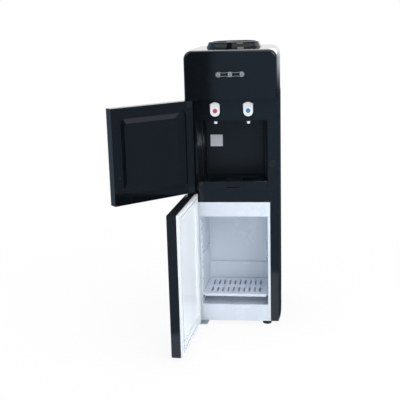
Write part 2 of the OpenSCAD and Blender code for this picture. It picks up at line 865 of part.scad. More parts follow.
// Cover of the tray: a raised rib down the middle and a fan of slots under each spout.
module drip_cover() {
    inset = tray_wall + cover_gap;
    z = bay_floor_z + tray_h - cover_t;
    slot_pitch = 7;
    slot_w = 3;
    slot_l = 62;
    rib_w = 3.2;
    rib_end = inset + 4;
    color(gloss) from_front() difference() {
        union() {
            translate([0, 0, z]) linear_extrude(cover_t)
                bay_plan(-tray_gap - inset, tap_y + inset, tray_back_y - inset);
            wide_box(rib_w, tap_y + rib_end, z, tray_back_y - tap_y - 2 * rib_end, cover_t + 1.2);
        }
        both_sides() for (i = [-3:3]) {
            translate([tap_pitch / 2 + i * slot_pitch - slot_w / 2, spout_y - 4 + abs(i) * 3, z - cut])
                cube([slot_w, slot_l - abs(i) * 6, cover_t + 3]);
        }
    }
}

// Storage cabinet

// Plan of the cavity: mouth at the frame, drafted sides and round back corners.
module cavity_plan(grow, back) {
    r = 10;
    first = 15;
    turn = 7.5;
    centre_y = back + grow - r;
    start_y = centre_y + r * sin(first);
    mouth = store_open_w / 2 + grow;
    centre_x = mouth - store_draft / store_d * (start_y - store_y) - r * cos(first);
    corner = [for (a = [first:turn:90]) [centre_x + r * cos(a), centre_y + r * sin(a)]];
    right = concat([[mouth, store_y]], corner);
    left = [for (i = [len(right) - 1:-1:0]) [-right[i].x, right[i].y]];
    polygon(concat(right, left));
}

// The room inside the tub: stepped back wall, and a floor sunk behind the sill.
module cavity_form() {
    lip_d = wall_t + 3;
    translate([0, 0, store_bottom_z]) linear_extrude(store_step_z - store_bottom_z)
        cavity_plan(-core_step, store_low_back);
    translate([0, 0, store_floor_z]) linear_extrude(store_bottom_z - store_floor_z) intersection() {
        cavity_plan(-core_step, store_low_back);
        translate([-half_w, store_y + lip_d]) square([body_w, body_d]);
    }
    translate([0, 0, store_step_z]) linear_extrude(store_open_top - store_step_z) cavity_plan(0, store_back_y);
    wide_box(store_open_w, store_y - cut, store_bottom_z, 2 * cut, store_open_top - store_bottom_z);
}

// White tub with its flat frame and two levels of runners, stepped in over the compressor.
module storage_liner() {
    runner_t = 3;
    runner_w = 4.5;
    runner_y = store_y + 16;
    color(white) from_front() difference() {
        union() {
            wide_box(store_frame_w, store_y, foot_h, wall_t, store_top_z - foot_h);
            tub_form(store_wall);
        }
        difference() {
            cavity_form();
            for (z = [shelf_z - shelf_t - seat_gap - runner_t, runner_z - runner_t]) {
                translate([0, 0, z]) linear_extrude(runner_t) difference() {
                    translate([-half_w, runner_y]) square([body_w, store_low_back - 6 - runner_y]);
                    cavity_plan(-runner_w, store_back_y);
                }
            }
        }
    }
}

// The tub's outside, grown by its wall or by the gap round it.
module tub_form(grow) {
    translate([0, 0, store_floor_z - grow]) linear_extrude(store_step_z - store_floor_z)
        cavity_plan(grow - core_step, store_low_back);
    translate([0, 0, store_step_z - grow]) linear_extrude(store_open_top - store_step_z + 2 * grow)
        cavity_plan(grow, store_back_y);
}

// Foam between the tub and the cabinet, stepped over the compressor.
module storage_insulation() {
    foam_x = frame_inner_x - sheet_t - seat_gap;
    foam_y = store_y + wall_t + sheet_t + 2 * seat_gap;
    foam_z = pan_top_z + seat_gap;
    foam_top = store_open_top + 40;
    step_z = store_step_z - 8;
    high_back = store_back_y + 24;
    color(foam_cream) from_front() difference() {
        union() {
            wide_box(2 * foam_x, foam_y, foam_z, foam_back_low - foam_y, foam_top - foam_z);
            wide_box(2 * foam_x, foam_y, step_z, high_back - foam_y, foam_top - step_z);
        }
        tub_form(store_wall + seat_gap);
    }
}

// Shelf with a turned-down front lip and two rows of slots.
module shelf() {
    gap = 1.2;
    front = store_y + 13;
    back = store_low_back - 7;
    slope = store_draft / store_d;
    front_x = store_open_w / 2 - gap - slope * (front - store_y);
    back_x = store_open_w / 2 - gap - slope * (back - store_y);
    lip_h = 9;
    slot_pitch = 18.3;
    slot_w = 6.5;
    slot_l = 48;
    color(white) from_front() difference() {
        union() {
            translate([0, 0, shelf_z - shelf_t]) linear_extrude(shelf_t)
                polygon([[-front_x, front], [front_x, front], [back_x, back], [-back_x, back]]);
            wide_box(2 * (front_x - 6), front, shelf_z - lip_h, 3, lip_h);
        }
        for (i = [0:slot_count - 1]) {
            for (row_y = [front + 23, front + 96]) {
                translate([(i - (slot_count - 1) / 2) * slot_pitch - slot_w / 2, row_y, shelf_z - shelf_t - cut])
                    linear_extrude(shelf_t + 2 * cut) round_rect(slot_w, slot_l, 3);
            }
        }
    }
}

// Doors, drawn closed and then turned open

// The solid corners of a door that hold its hinge bushes, with some room round them.
module door_corners(z, h, room) {
    for (end_z = [z, z + h - corner_h]) {
        translate([-door_w / 2 - room, -room, end_z - room])
            cube([corner_w + 2 * room, door_t + 2 * room, corner_h + 2 * room]);
    }
}

// A door's outer shell: rounded outer edges, open behind, with solid corners for the bushes.
module door_shell(z, h) {
    difference() {
        translate([-door_w / 2, 0, z]) soft_slab(door_w, door_t, h, 3);
        difference() {
            wide_box(door_w - 2 * door_wall, door_wall, z + door_wall, door_t, h - 2 * door_wall);
            door_corners(z, h, 0);
        }
        for (end_z = [z - cut, z + h - bush_l]) {
            translate([hinge_x, hinge_face, end_z]) cylinder(r = bush_r + press_gap, h = bush_l + cut);
        }
    }
}

// Two nylon bushes, one in each end of a door.
module door_bushes(z, h) {
    color([0.85, 0.85, 0.82]) for (end_z = [z, z + h - bush_l]) {
        translate([hinge_x, hinge_face, end_z]) difference() {
            cylinder(r = bush_r, h = bush_l);
            translate([0, 0, -cut]) cylinder(r = pin_r + pin_clearance, h = bush_l + 2 * cut);
        }
    }
}

module upper_door_shell() {
    color(gloss) from_front() open_door(upper_open) door_shell(upper_door_z, upper_door_h);
}

// Sloping pan of the upper door's panel, set out by a wall.
module pan_form(grow, spare) {
    edge = upper_rim + panel_ledge - grow;
    floor_edge = edge + 17;
    hull() {
        upright(door_t - panel_step - 1, 1 + spare)
            round_panel(door_w - 2 * edge, upper_door_h - 2 * edge, 16 + grow, upper_door_z + edge);
        upright(door_t - upper_recess - grow, 1) round_panel(door_w - 2 * floor_edge,
            upper_door_h - 2 * floor_edge, 12 + grow, upper_door_z + floor_edge);
    }
}

// Inner panel of the upper door: flat rim, a shallow step and a pan with sloping walls.
module upper_door_panel() {
    t = 2.5;
    inset = door_wall + seat_gap;
    step_edge = upper_rim - t;
    step_r = 20;
    color(satin) from_front() open_door(upper_open) difference() {
        union() {
            wide_box(door_w - 2 * inset, door_t - t, upper_door_z + inset, t, upper_door_h - 2 * inset);
            upright(door_t - panel_step - t, panel_step + t) round_panel(door_w - 2 * step_edge,
                upper_door_h - 2 * step_edge, step_r + t, upper_door_z + step_edge);
            pan_form(t, 0);
        }
        upright(door_t - panel_step, panel_step + cut) round_panel(door_w - 2 * upper_rim,
            upper_door_h - 2 * upper_rim, step_r, upper_door_z + upper_rim);
        pan_form(0, 2);
        door_corners(upper_door_z, upper_door_h, seat_gap);
        rod_y(catch_x, door_t - strike_d, catch_z, catch_stem_r + press_gap, strike_d + cut);
    }
}

module upper_door_bushes() {
    from_front() open_door(upper_open) door_bushes(upper_door_z, upper_door_h);
}

// Steel disc in the upper door's rim, opposite the catch.
module door_strike() {
    color(steel_grey) from_front() open_door(upper_open)
        rod_y(catch_x, door_t - strike_d, catch_z, catch_stem_r, strike_d);
}

module lower_door_shell() {
    color(gloss) from_front() open_door(lower_open) door_shell(lower_door_z, lower_door_h);
}

// Foam that fills the lower door behind its white liner.
module lower_door_insulation() {
    inset = door_wall + seat_gap;
    color(foam_cream) from_front() open_door(lower_open) difference() {
        wide_box(door_w - 2 * inset, inset, lower_door_z + inset, door_t - inset - seat_gap,
            lower_door_h - 2 * inset);
        door_corners(lower_door_z, lower_door_h, seat_gap);
    }
}

// White inner face of the lower door: rim, gasket groove and recessed field.
module lower_door_liner() {
    field = 34;
    field_d = 5.5;
    w = door_w - 2 * liner_inset;
    h = lower_door_h - 2 * liner_inset;
    z = lower_door_z + liner_inset;
    back = door_t + door_liner_t;
    groove_end = groove_inset + groove_w;
    color(white) from_front() open_door(lower_open) difference() {
        upright(door_t, door_liner_t) round_panel(w, h, 4, z);
        upright(back - field_d, field_d + cut) round_panel(w - 2 * field, h - 2 * field, 12, z + field);
        difference() {
            wide_box(w - 2 * groove_inset, back - groove_d, z + groove_inset, groove_d + cut, h - 2 * groove_inset);
            wide_box(w - 2 * groove_end, back - groove_d - cut, z + groove_end, groove_d + 3 * cut,
                h - 2 * groove_end);
        }
    }
}

// Soft magnetic gasket that sits in the groove and stands a little proud of it.
module lower_door_gasket() {
    side_gap = 0.2;
    inset = liner_inset + groove_inset + side_gap;
    bead_w = groove_w - 2 * side_gap;
    w = door_w - 2 * inset;
    h = lower_door_h - 2 * inset;
    z = lower_door_z + inset;
    y = door_t + door_liner_t - groove_d + 0.1;
    bead_d = store_y - 0.8 - y;
    color([0.8, 0.83, 0.85]) from_front() open_door(lower_open) difference() {
        wide_box(w, y, z, bead_d, h);
        wide_box(w - 2 * bead_w, y - cut, z + bead_w, bead_d + 2 * cut, h - 2 * bead_w);
    }
}

module lower_door_bushes() {
    from_front() open_door(lower_open) door_bushes(lower_door_z, lower_door_h);
}

// Hinges and fittings

// Round eye about the hinge axis and a plate that runs back from it.
module hinge_plate(z, plate_w, back) {
    translate([0, 0, z]) linear_extrude(hinge_plate_t) {
        translate([hinge_x, hinge_face]) circle(r = hinge_r);
        translate([hinge_x - hinge_r, hinge_face]) square([plate_w, back - hinge_face]);
        translate([hinge_x, hinge_face - hinge_r]) square([plate_w - 2 * hinge_r, 2 * hinge_r]);
        translate([hinge_x - 2 * hinge_r + plate_w, hinge_face]) circle(r = hinge_r);
    }
}

// Bracket under the head's overhang, with the pin that the upper door hangs on.
module top_hinge() {
    plate_z = head_z - seat_gap - hinge_plate_t;
    color(steel_grey) from_front() {
        hinge_plate(plate_z, 44, tap_y);
        translate([hinge_x, hinge_face, plate_z - bush_l + 2]) cylinder(r = pin_r, h = bush_l);
    }
}

// Bracket between the doors: a tongue through the frame, and a pin up and down.
module middle_hinge() {
    reach = bush_l - 3;
    front = hinge_face - hinge_r;
    color(steel_grey) from_front() {
        translate([0, 0, middle_plate_z]) linear_extrude(hinge_plate_t) {
            translate([hinge_x, hinge_face]) circle(r = hinge_r);
            translate([tongue_x, front]) square([tongue_w, store_y + 12 - front]);
        }
        translate([hinge_x, hinge_face, middle_plate_z - reach]) cylinder(r = pin_r, h = 2 * reach + hinge_plate_t);
    }
}

// Bracket under the cabinet that the lower door stands on. A foot's stem passes through it.
module bottom_hinge() {
    plate_z = foot_h - hinge_plate_t;
    color(steel_grey) from_front() {
        difference() {
            hinge_plate(plate_z, 57, foot_y + 18);
            translate([-foot_x, foot_y, plate_z - cut])
                cylinder(r = foot_stem_r + seat_gap, h = hinge_plate_t + 2 * cut);
        }
        translate([hinge_x, hinge_face, plate_z]) cylinder(r = pin_r, h = bush_l);
    }
}

// Round magnetic catch on the right column: a dished ring, a button and a stem through the panel.
module door_catch() {
    ring_r = 12.5;
    ring_t = 1.6;
    button_d = 2.2;
    color(satin) from_front() {
        difference() {
            rod_y(catch_x, tap_y - ring_t, catch_z, ring_r, ring_t);
            rod_y(catch_x, tap_y - ring_t - cut, catch_z, ring_r - 2, 0.8 + cut);
        }
        rod_y(catch_x, tap_y - button_d, catch_z, 8, button_d);
        rod_y(catch_x, tap_y - cut, catch_z, catch_stem_r, wall_t + 7);
    }
}

// Four feet under the base.
module feet() {
    pad_r = foot_d / 2;
    color(satin) from_front() both_sides() for (p = [[foot_x, foot_y], [foot_x + 10, body_d - 30]]) {
        translate([p[0], p[1], 0]) rotate_extrude() {
            polygon([[0, 0], [pad_r - 1.5, 0], [pad_r, 1.5], [pad_r, 4], [pad_r - 4, 6], [foot_stem_r, 6],
                [foot_stem_r, foot_h], [0, foot_h]]);
        }
    }
}

// Water

// Steel shelf across the cabinet that carries the cold tank and holds the hot tank below it.
module tank_shelf() {
    front = frame_back_y - 37;
    deep = back_panel_y - seat_gap - front;
    fold_h = 14;
    hole_z = tank_shelf_z - cut;
    through = sheet_t + 2 * cut;
    color(steel_grey) from_front() difference() {
        union() {
            wide_box(2 * inner_x, front, tank_shelf_z, deep, sheet_t);
            both_sides() translate([inner_x - sheet_t, front, tank_shelf_z - fold_h]) cube([sheet_t, deep, fold_h]);
        }
        translate([hot_outlet_x, hot_tank_y, hole_z]) cylinder(r = hose_r + 2, h = through);
        translate([0, collar_y, hole_z]) cylinder(r = hose_r + 2, h = through);
        wide_box(2 * pipe_pocket_x, pipe_pocket_y, hole_z, pipe_pocket_d, through);
    }
}

// Steel tank, open at the top, with a stub down to the hot tank and one forward to the cold tap.
module cold_tank() {
    stub_end_y = collar_y - cold_tank_r + 5;
    stub_bore = hose_r - stub_wall;
    color(steel_grey) from_front() difference() {
        union() {
            translate([0, collar_y, tank_z]) cylinder(r = cold_tank_r, h = seat_bottom_z - tank_z, $fn = 96);
            translate([0, collar_y, tank_z - stub_l]) cylinder(r = hose_r, h = stub_l + cut);
            rod_y(0, cold_stub_y, tail_z, hose_r, stub_end_y - cold_stub_y);
        }
        translate([0, collar_y, tank_z + tank_wall]) cylinder(r = cold_tank_r - tank_wall, h = body_h, $fn = 96);
        translate([0, collar_y, tank_z - stub_l - cut]) cylinder(r = stub_bore, h = stub_l + 2 * tank_wall + cut);
        rod_y(0, cold_stub_y - cut, tail_z, stub_bore, collar_y - cold_stub_y);
    }
}

// Disc that keeps the warm water above the chilled water, on a stem that feeds the hot tank.
module tank_baffle() {
    disc_z = tank_z + 82;
    disc_t = 3;
    hole_r = 3;
    color(white) from_front() translate([0, collar_y, 0]) difference() {
        union() {
            translate([0, 0, disc_z]) cylinder(r = cold_tank_r - tank_wall - 1, h = disc_t, $fn = 96);
            translate([0, 0, tank_z + tank_wall]) cylinder(r = hose_r + 2, h = disc_z - tank_z);
        }
        translate([0, 0, tank_z]) cylinder(r = hose_r, h = body_h);
        for (a = [0:45:315]) {
            rotate([0, 0, a]) translate([(cold_tank_r + hose_r) / 2, 0, disc_z - cut])
                cylinder(r = hole_r, h = disc_t + 2 * cut);
        }
    }
}

// Foam round the cold tank and its evaporator, with a pocket behind for the pipes.
module tank_insulation() {
    base_z = tank_shelf_z + sheet_t;
    foam_h = seat_bottom_z - 3 - base_z;
    room_r = chill_r + chill_tube_r + 1.2;
    color(foam_cream) from_front() difference() {
        translate([0, collar_y, base_z]) cylinder(r = foam_r, h = foam_h, $fn = 96);
        translate([0, collar_y, tank_z - seat_gap]) cylinder(r = room_r, h = body_h, $fn = 96);
        translate([0, collar_y, base_z - cut]) cylinder(r = hose_r + 1, h = foam_h);
        rod_y(0, collar_y - foam_r - cut, tail_z, hose_r + 1, foam_r);
        wide_box(2 * pipe_pocket_x, pipe_pocket_y, base_z - cut, pipe_pocket_d, body_h);
    }
}

// Brazed sleeve over a joint in the evaporator's tube.
module sleeve(z) {
    rod_y(0, -sleeve_l / 2, z, chill_tube_r + sleeve_t, sleeve_l);
}

// Evaporator: tube to and fro round the cold tank, both tails led down behind it.
module evaporator() {
    start = 120;
    finish = 60;
    low_z = chill_z - tube_bend;
    top_z = chill_z + (chill_turns - 1) * chill_pitch;
    reach = 14;
    r = chill_tube_r;
    color(copper) from_front() on_left() translate([0, collar_y, 0]) {
        for (i = [0:chill_turns - 1]) {
            translate([0, 0, chill_z + i * chill_pitch]) rotate([0, 0, start])
                bend(chill_r, r, 360 - start + finish);
        }
        for (i = [0:chill_turns - 2]) {
            rotate([0, 0, i % 2 == 0 ? finish : start])
                translate([chill_r, 0, chill_z + (i + 0.5) * chill_pitch]) rotate([180 * (i % 2), 0, 0]) {
                    sleeve(-chill_pitch / 2);
                    sleeve(chill_pitch / 2);
                    translate([0, chill_link, 0]) rotate([0, 90, 0]) bend(chill_pitch / 2, r, 180);
                }
        }
        rotate([0, 0, start]) mirror([0, 1, 0]) translate([chill_r, 0, low_z]) {
            sleeve(tube_bend);
            translate([0, chill_link, 0]) rotate([0, -90, 0]) bend(tube_bend, r, 90);
        }
        rotate([0, 0, finish]) translate([chill_r, 0, top_z]) {
            sleeve(0);
            rod_y(0, chill_link, 0, r, reach - chill_link);
            translate([0, reach, -tube_bend]) rotate([0, -90, 0]) bend(tube_bend, r, 90);
            translate([0, reach + tube_bend, low_z - top_z]) cylinder(r = r, h = top_z - tube_bend - low_z);
        }
    }
}

// Closed steel tank that hangs from the shelf by two straps, with three stubs.
module hot_tank() {
    shoulder = 12;
    wall = 1.2;
    strap_t = 2;
    strap_w = 20;
    strap_z = hot_tank_top - 30;
    top = hot_tank_top;
    low = hot_tank_z;
    r = hot_tank_r;
    color(steel_grey) from_front() translate([hot_tank_x, hot_tank_y, 0]) {
        rotate_extrude($fn = 96) difference() {
            polygon([[0, low], [r - shoulder, low], [r, low + shoulder], [r, top - shoulder], [r - shoulder, top],
                [0, top]]);
            polygon([[0, low + wall], [r - shoulder, low + wall], [r - wall, low + shoulder],
                [r - wall, top - shoulder], [r - shoulder, top - wall], [0, top - wall]]);
        }
        both_sides() translate([r - strap_t / 2, -strap_w / 2, strap_z])
            cube([strap_t, strap_w, tank_shelf_z - strap_z]);
        translate([0, 0, low - drain_stub_l]) cylinder(r = hose_r, h = drain_stub_l + wall);
        translate([hot_outlet_x - hot_tank_x, 0, top - 4]) cylinder(r = hose_r, h = hot_stub_l + 4);
        rod_x(r - wall, 0, hot_inlet_z, hose_r, stub_l + wall);
    }
}

// Silicone hoses: hot tank to hot tap, cold tank to cold tap, cold tank to hot tank, hot tank to drain.
module water_pipes() {
    tap_x = tap_pitch / 2;
    run_y = tail_end_y + 1 + hose_bend;
    hot_start = hot_tank_top + hot_stub_l;
    inlet_end_x = hot_tank_x + hot_tank_r + stub_l;
    drain_start = hot_tank_z - drain_stub_l;
    drain_end_y = back_panel_y - 9;
    color([0.9, 0.92, 0.9]) from_front() {
        translate([hot_outlet_x, hot_tank_y, hot_start]) bent_tube([[tail_z - hose_bend - hot_start, -90],
            [hot_tank_y - run_y - 2 * hose_bend, 90], [-tap_x - hot_outlet_x - 2 * hose_bend, 180], [1, 0]],
            hose_r, hose_bend);
        translate([tap_x, tail_end_y, tail_z]) rotate([-90, 0, 0]) bent_tube([[1, 180],
            [tap_x - 2 * hose_bend, 180], [1, 0]], hose_r, hose_bend);
        translate([0, collar_y, tank_z - stub_l]) rotate([180, 0, 0]) bent_tube([
            [tank_z - stub_l - hot_inlet_z - hose_bend, -90], [hot_tank_y - collar_y - 2 * hose_bend, -90],
            [-inlet_end_x - hose_bend, 0]], hose_r, hose_bend);
        translate([hot_tank_x, hot_tank_y, drain_start]) rotate([180, 0, 0]) bent_tube([
            [drain_start - drain_z - hose_bend, -90], [drain_end_y - hot_tank_y - hose_bend, 0]],
            hose_r, hose_bend);
    }
}

// Cooling

// Welded steel can with a belt, a terminal box, two stubs on top and a foot plate.
module compressor() {
    belt_z = 0.5 * compressor_h;
    belt = 2.5;
    belt_h = 7;
    dome = 26;
    r = compressor_r;
    arch = [for (a = [0:10:90]) [r * cos(a), compressor_h - dome + dome * sin(a)]];
    margin = 11;
    stub_in = 20;
    color([0.08, 0.08, 0.09]) from_front() translate([compressor_x, compressor_y, can_z]) difference() {
        union() {
            rotate_extrude($fn = 96) polygon(concat([[0, 0], [r - 12, 0], [r - 3, 5], [r, 14], [r, belt_z - belt],
                [r + belt, belt_z], [r + belt, belt_z + belt_h], [r, belt_z + belt_h + belt]], arch));
            translate([-mount_x - margin, -mount_y - margin, -plate_t]) linear_extrude(plate_t)
                round_rect(2 * (mount_x + margin), 2 * (mount_y + margin), margin);
            translate([-r - 14, -18, 40]) cube([24, 36, 44]);
            for (p = [discharge_at, suction_at]) {
                translate([p[0], p[1], compressor_h - stub_in]) cylinder(r = 4, h = stub_in + stub_rise);
            }
        }
        for (x = [-mount_x, mount_x]) {
            for (y = [-mount_y, mount_y]) {
                translate([x, y, -plate_t - cut]) cylinder(r = 6, h = plate_t + 2 * cut);
            }
        }
    }
}

// Four rubber grommets between the foot plate and the base pan.
module compressor_mounts() {
    waist_r = 5.6;
    cap_z = grommet_h + plate_t + 0.2;
    color([0.12, 0.12, 0.12]) from_front() for (x = [-mount_x, mount_x]) {
        for (y = [-mount_y, mount_y]) {
            translate([compressor_x + x, compressor_y + y, pan_top_z]) rotate_extrude() {
                polygon([[0, 0], [9, 0], [9, grommet_h], [waist_r, grommet_h], [waist_r, cap_z], [8, cap_z],
                    [6.5, cap_z + 3], [0, cap_z + 3]]);
            }
        }
    }
}

// Condenser tube: level runs and half-round bends, its inlet low on the left, its outlet down the right.
module condenser_coil() {
    last = condenser_runs - 1;
    r = condenser_tube_r;
    color([0.07, 0.07, 0.08]) from_front() translate([0, condenser_y, 0]) {
        for (i = [0:last]) {
            extra = i == last ? return_x - tube_bend - condenser_x : 0;
            rod_x(-condenser_x, 0, condenser_z + i * condenser_pitch, r, 2 * condenser_x + extra);
        }
        for (i = [0:last - 1]) {
            mirror([i % 2, 0, 0]) translate([condenser_x, 0, condenser_z + (i + 0.5) * condenser_pitch])
                rotate([90, 0, 0]) rotate([0, 0, -90]) bend(condenser_pitch / 2, r, 180);
        }
        translate([-condenser_x, 0, condenser_z - tube_bend]) rotate([90, 0, 0]) rotate([0, 0, 90])
            bend(tube_bend, r, 90);
        translate([return_x - tube_bend, 0, condenser_top - tube_bend]) rotate([90, 0, 0])
            bend(tube_bend, r, 90);
        translate([return_x, 0, drier_top]) cylinder(r = r, h = condenser_top - tube_bend - drier_top);
    }
}

// Upright wires in front of and behind the tube, spot-welded on the real one.
module condenser_wires() {
    over = 12;
    span = 2 * condenser_x - 36;
    offset_y = condenser_tube_r + wire_r + wire_gap;
    color([0.07, 0.07, 0.08]) from_front() for (i = [0:condenser_wires_n - 1]) {
        for (side = [-1, 1]) {
            translate([-span / 2 + i * span / (condenser_wires_n - 1), condenser_y + side * offset_y,
                condenser_z - over]) cylinder(r = wire_r, h = condenser_h + 2 * over);
        }
    }
}

// Two steel channels that hold the condenser off the back panel.
module condenser_brackets() {
    channel_w = 8;
    channel_y = back_panel_y + sheet_t;
    channel_d = condenser_y - condenser_tube_r - seat_gap - channel_y;
    channel_h = condenser_h + 16;
    t = 1.2;
    color(steel_grey) from_front() both_sides() translate([condenser_x - channel_w, channel_y, condenser_z - 8])
        difference() {
            cube([channel_w, channel_d, channel_h]);
            translate([-cut, t, -cut]) cube([channel_w - t + cut, channel_d - 2 * t, channel_h + 2 * cut]);
        }
}

// Copper filter drier in the line down from the condenser.
module filter_drier() {
    neck_r = 3;
    top = drier_top;
    end = drier_top - drier_l;
    color(copper) from_front() translate([return_x, condenser_y, 0]) rotate_extrude() {
        polygon([[0, end], [neck_r, end], [neck_r, end + 6], [drier_r, end + 14], [drier_r, top - 14],
            [neck_r, top - 6], [neck_r, top], [0, top]]);
    }
}

// Discharge pipe to the condenser, capillary to the evaporator and suction pipe back to the compressor.
module refrigerant_pipes() {
    pipe_r = 2.5;
    suction_r = 3;
    capillary_r = 1.5;
    low_z = stub_top_z + 10;
    suction_z = tank_shelf_z - 18;
    capillary_z = suction_z - 16;
    tail_angle = 60;
    tail_reach = 22;
    tail_x = chill_r * cos(tail_angle);
    tail_y = collar_y + chill_r * sin(tail_angle);
    high_tail = [tail_reach * sin(tail_angle) - tail_x, tail_y + tail_reach * cos(tail_angle)];
    low_reach = tube_bend + chill_link;
    low_tail = [tail_x - low_reach * sin(tail_angle), tail_y + low_reach * cos(tail_angle)];
    tail_end = chill_z - tube_bend;
    discharge = [compressor_x, compressor_y] + discharge_at;
    suction = [compressor_x, compressor_y] + suction_at;
    drier_end = drier_top - drier_l;
    drier_drop = 10;
    riser_y = condenser_y - 44;
    color(copper) from_front() {
        translate([discharge[0], discharge[1], stub_top_z]) bent_tube([[low_z - tube_bend - stub_top_z, 90],
            [condenser_y - discharge[1] - 2 * tube_bend, 90], [condenser_x + discharge[0] - tube_bend, 90],
            [condenser_z - low_z - 2 * tube_bend, 0]], pipe_r, tube_bend);
        translate([suction[0], suction[1], stub_top_z]) bent_tube([[suction_z - tube_bend - stub_top_z, 0],
            [low_tail[0] - suction[0] - 2 * tube_bend, -90], [suction[1] - low_tail[1] - 2 * tube_bend, -90],
            [tail_end - suction_z - tube_bend, 0]], suction_r, tube_bend);
        translate([return_x, condenser_y, drier_end]) rotate([180, 0, 0]) bent_tube([[drier_drop, 90],
            [condenser_y - riser_y - 2 * tube_bend, 0], [capillary_z - drier_end + drier_drop - tube_bend, 90],
            [return_x - high_tail[0] - 2 * tube_bend, 90],
            [riser_y - high_tail[1] - 2 * tube_bend, 90], [tail_end - capillary_z - tube_bend, 0]],
            capillary_r, tube_bend);
    }
}

// Switches, drain and cord gland on the back

// Frame and box for the two rocker switches.
module switch_housing() {
    box_d = 19;
    face_t = 2;
    margin = 6;
    bay_x = rocker_w + 2 * rocker_gap;
    color(satin) from_front() translate([0, back_panel_y, switch_z]) difference() {
        union() {
            wide_box(2 * switch_half_w, -box_d, -switch_half_h, box_d + sheet_t, 2 * switch_half_h);
            upright(sheet_t, face_t) translate([-switch_half_w - margin, -switch_half_h - margin])
                round_rect(2 * (switch_half_w + margin), 2 * (switch_half_h + margin), 4);
        }
        both_sides() translate([1, 2 - box_d, -rocker_r - seat_gap])
            cube([bay_x, box_d + sheet_t + face_t, 2 * (rocker_r + seat_gap)]);
        rod_x(-switch_half_w - cut, rocker_y, 0, lever_pin_r + pin_clearance, 2 * (switch_half_w + cut));
    }
}

// Rocker with a shallow V face, tilted to its pressed side, and its pivot pin.
module rocker() {
    tilt = 8;
    pin_l = rocker_w + 2 * rocker_gap + 1.6;
    mid_x = 1 + rocker_gap + rocker_w / 2;
    from_front() translate([mid_x, back_panel_y + rocker_y, switch_z]) rotate([tilt, 0, 0]) {
        translate([-rocker_w / 2, 0, 0]) rotate([90, 0, 90]) linear_extrude(rocker_w) intersection() {
            circle(r = rocker_r, $fn = 96);
            polygon([[-6, -rocker_r], [7, -rocker_r], [4.6, 0], [7, rocker_r], [-6, rocker_r]]);
        }
        rod_x(-pin_l / 2, 0, 0, lever_pin_r, pin_l);
    }
}

module hot_switch() {
    color([0.75, 0.1, 0.1]) on_left() rocker();
}

module cold_switch() {
    color([0.1, 0.5, 0.25]) rocker();
}

// Drain spigot of the hot tank, flanged on both sides of the back panel.
module drain_outlet() {
    inner_l = 9;
    nut_t = 4;
    spigot_l = 11;
    flange_r = drain_r + 4;
    color(white) from_front() translate([hot_tank_x, back_panel_y, drain_z]) rotate([-90, 0, 0]) difference() {
        union() {
            translate([0, 0, -inner_l]) cylinder(r = drain_r, h = inner_l + sheet_t + spigot_l);
            translate([0, 0, -nut_t]) cylinder(r = flange_r, h = nut_t);
            translate([0, 0, sheet_t]) cylinder(r = flange_r, h = 2);
        }
        translate([0, 0, -inner_l - cut]) cylinder(r = hose_r - stub_wall, h = 40);
    }
}

// Cap that screws over the spigot.
module drain_cap() {
    skirt_l = 9;
    top_t = 3;
    start = sheet_t + 2 + seat_gap;
    color([0.2, 0.2, 0.22]) from_front() translate([hot_tank_x, back_panel_y, drain_z]) rotate([-90, 0, 0])
        difference() {
            translate([0, 0, start]) cylinder(r = cap_r, h = skirt_l + top_t);
            translate([0, 0, start - cut]) cylinder(r = drain_r + 0.35, h = skirt_l + cut);
        }
}

// Gland for the mains cord: a flanged sleeve through the back panel.
module cord_gland() {
    inner_l = 6;
    outer_l = 8;
    flange_r = gland_r + 3;
    color(satin) from_front() translate([gland_x, back_panel_y, gland_z]) rotate([-90, 0, 0]) difference() {
        union() {
            translate([0, 0, -inner_l]) cylinder(r = gland_r, h = inner_l + sheet_t + outer_l);
            translate([0, 0, -3]) cylinder(r = flange_r, h = 3);
            translate([0, 0, sheet_t]) cylinder(r = flange_r, h = 3);
        }
        translate([0, 0, -inner_l - cut]) cylinder(r = 4, h = 30);
    }
}

base_pan();
left_side_panel();
right_side_panel();
back_panel();
front_frame();
head_shell();
indicator_bezel();
indicator_lenses();
indicator_board();
bottle_collar();
bottle_seat();
tank_baffle();
bay_liner();
hot_tap_body();
cold_tap_body();
hot_spout();
cold_spout();
lever_pins();
hot_lever();
cold_lever();
hot_button();
cold_cap();
drip_tray();
drip_cover();
storage_liner();
storage_insulation();
shelf();
upper_door_shell();
upper_door_panel();
upper_door_bushes();
door_strike();
lower_door_shell();
lower_door_insulation();
lower_door_liner();
lower_door_gasket();
lower_door_bushes();
top_hinge();
middle_hinge();
bottom_hinge();
door_catch();
feet();
tank_shelf();
cold_tank();
tank_insulation();
evaporator();
hot_tank();
water_pipes();
compressor();
compressor_mounts();
condenser_coil();
condenser_wires();
condenser_brackets();
filter_drier();
refrigerant_pipes();
switch_housing();
hot_switch();
cold_switch();
drain_outlet();
drain_cap();
cord_gland();
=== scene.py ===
# %% [markdown]
# # Top load water cooler
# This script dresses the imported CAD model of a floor-standing water cooler: a gloss black cabinet with both
# doors open, two taps in a dark bay and a white-lined storage cabinet below. The CAD solids stay where they
# are. Blender gives them soft edges and finishes, and adds the small things that CAD leaves out.

# %% Load the frame
import math

import bmesh
import bpy
from mathutils import Matrix, Vector
from mathutils.bvhtree import BVHTree


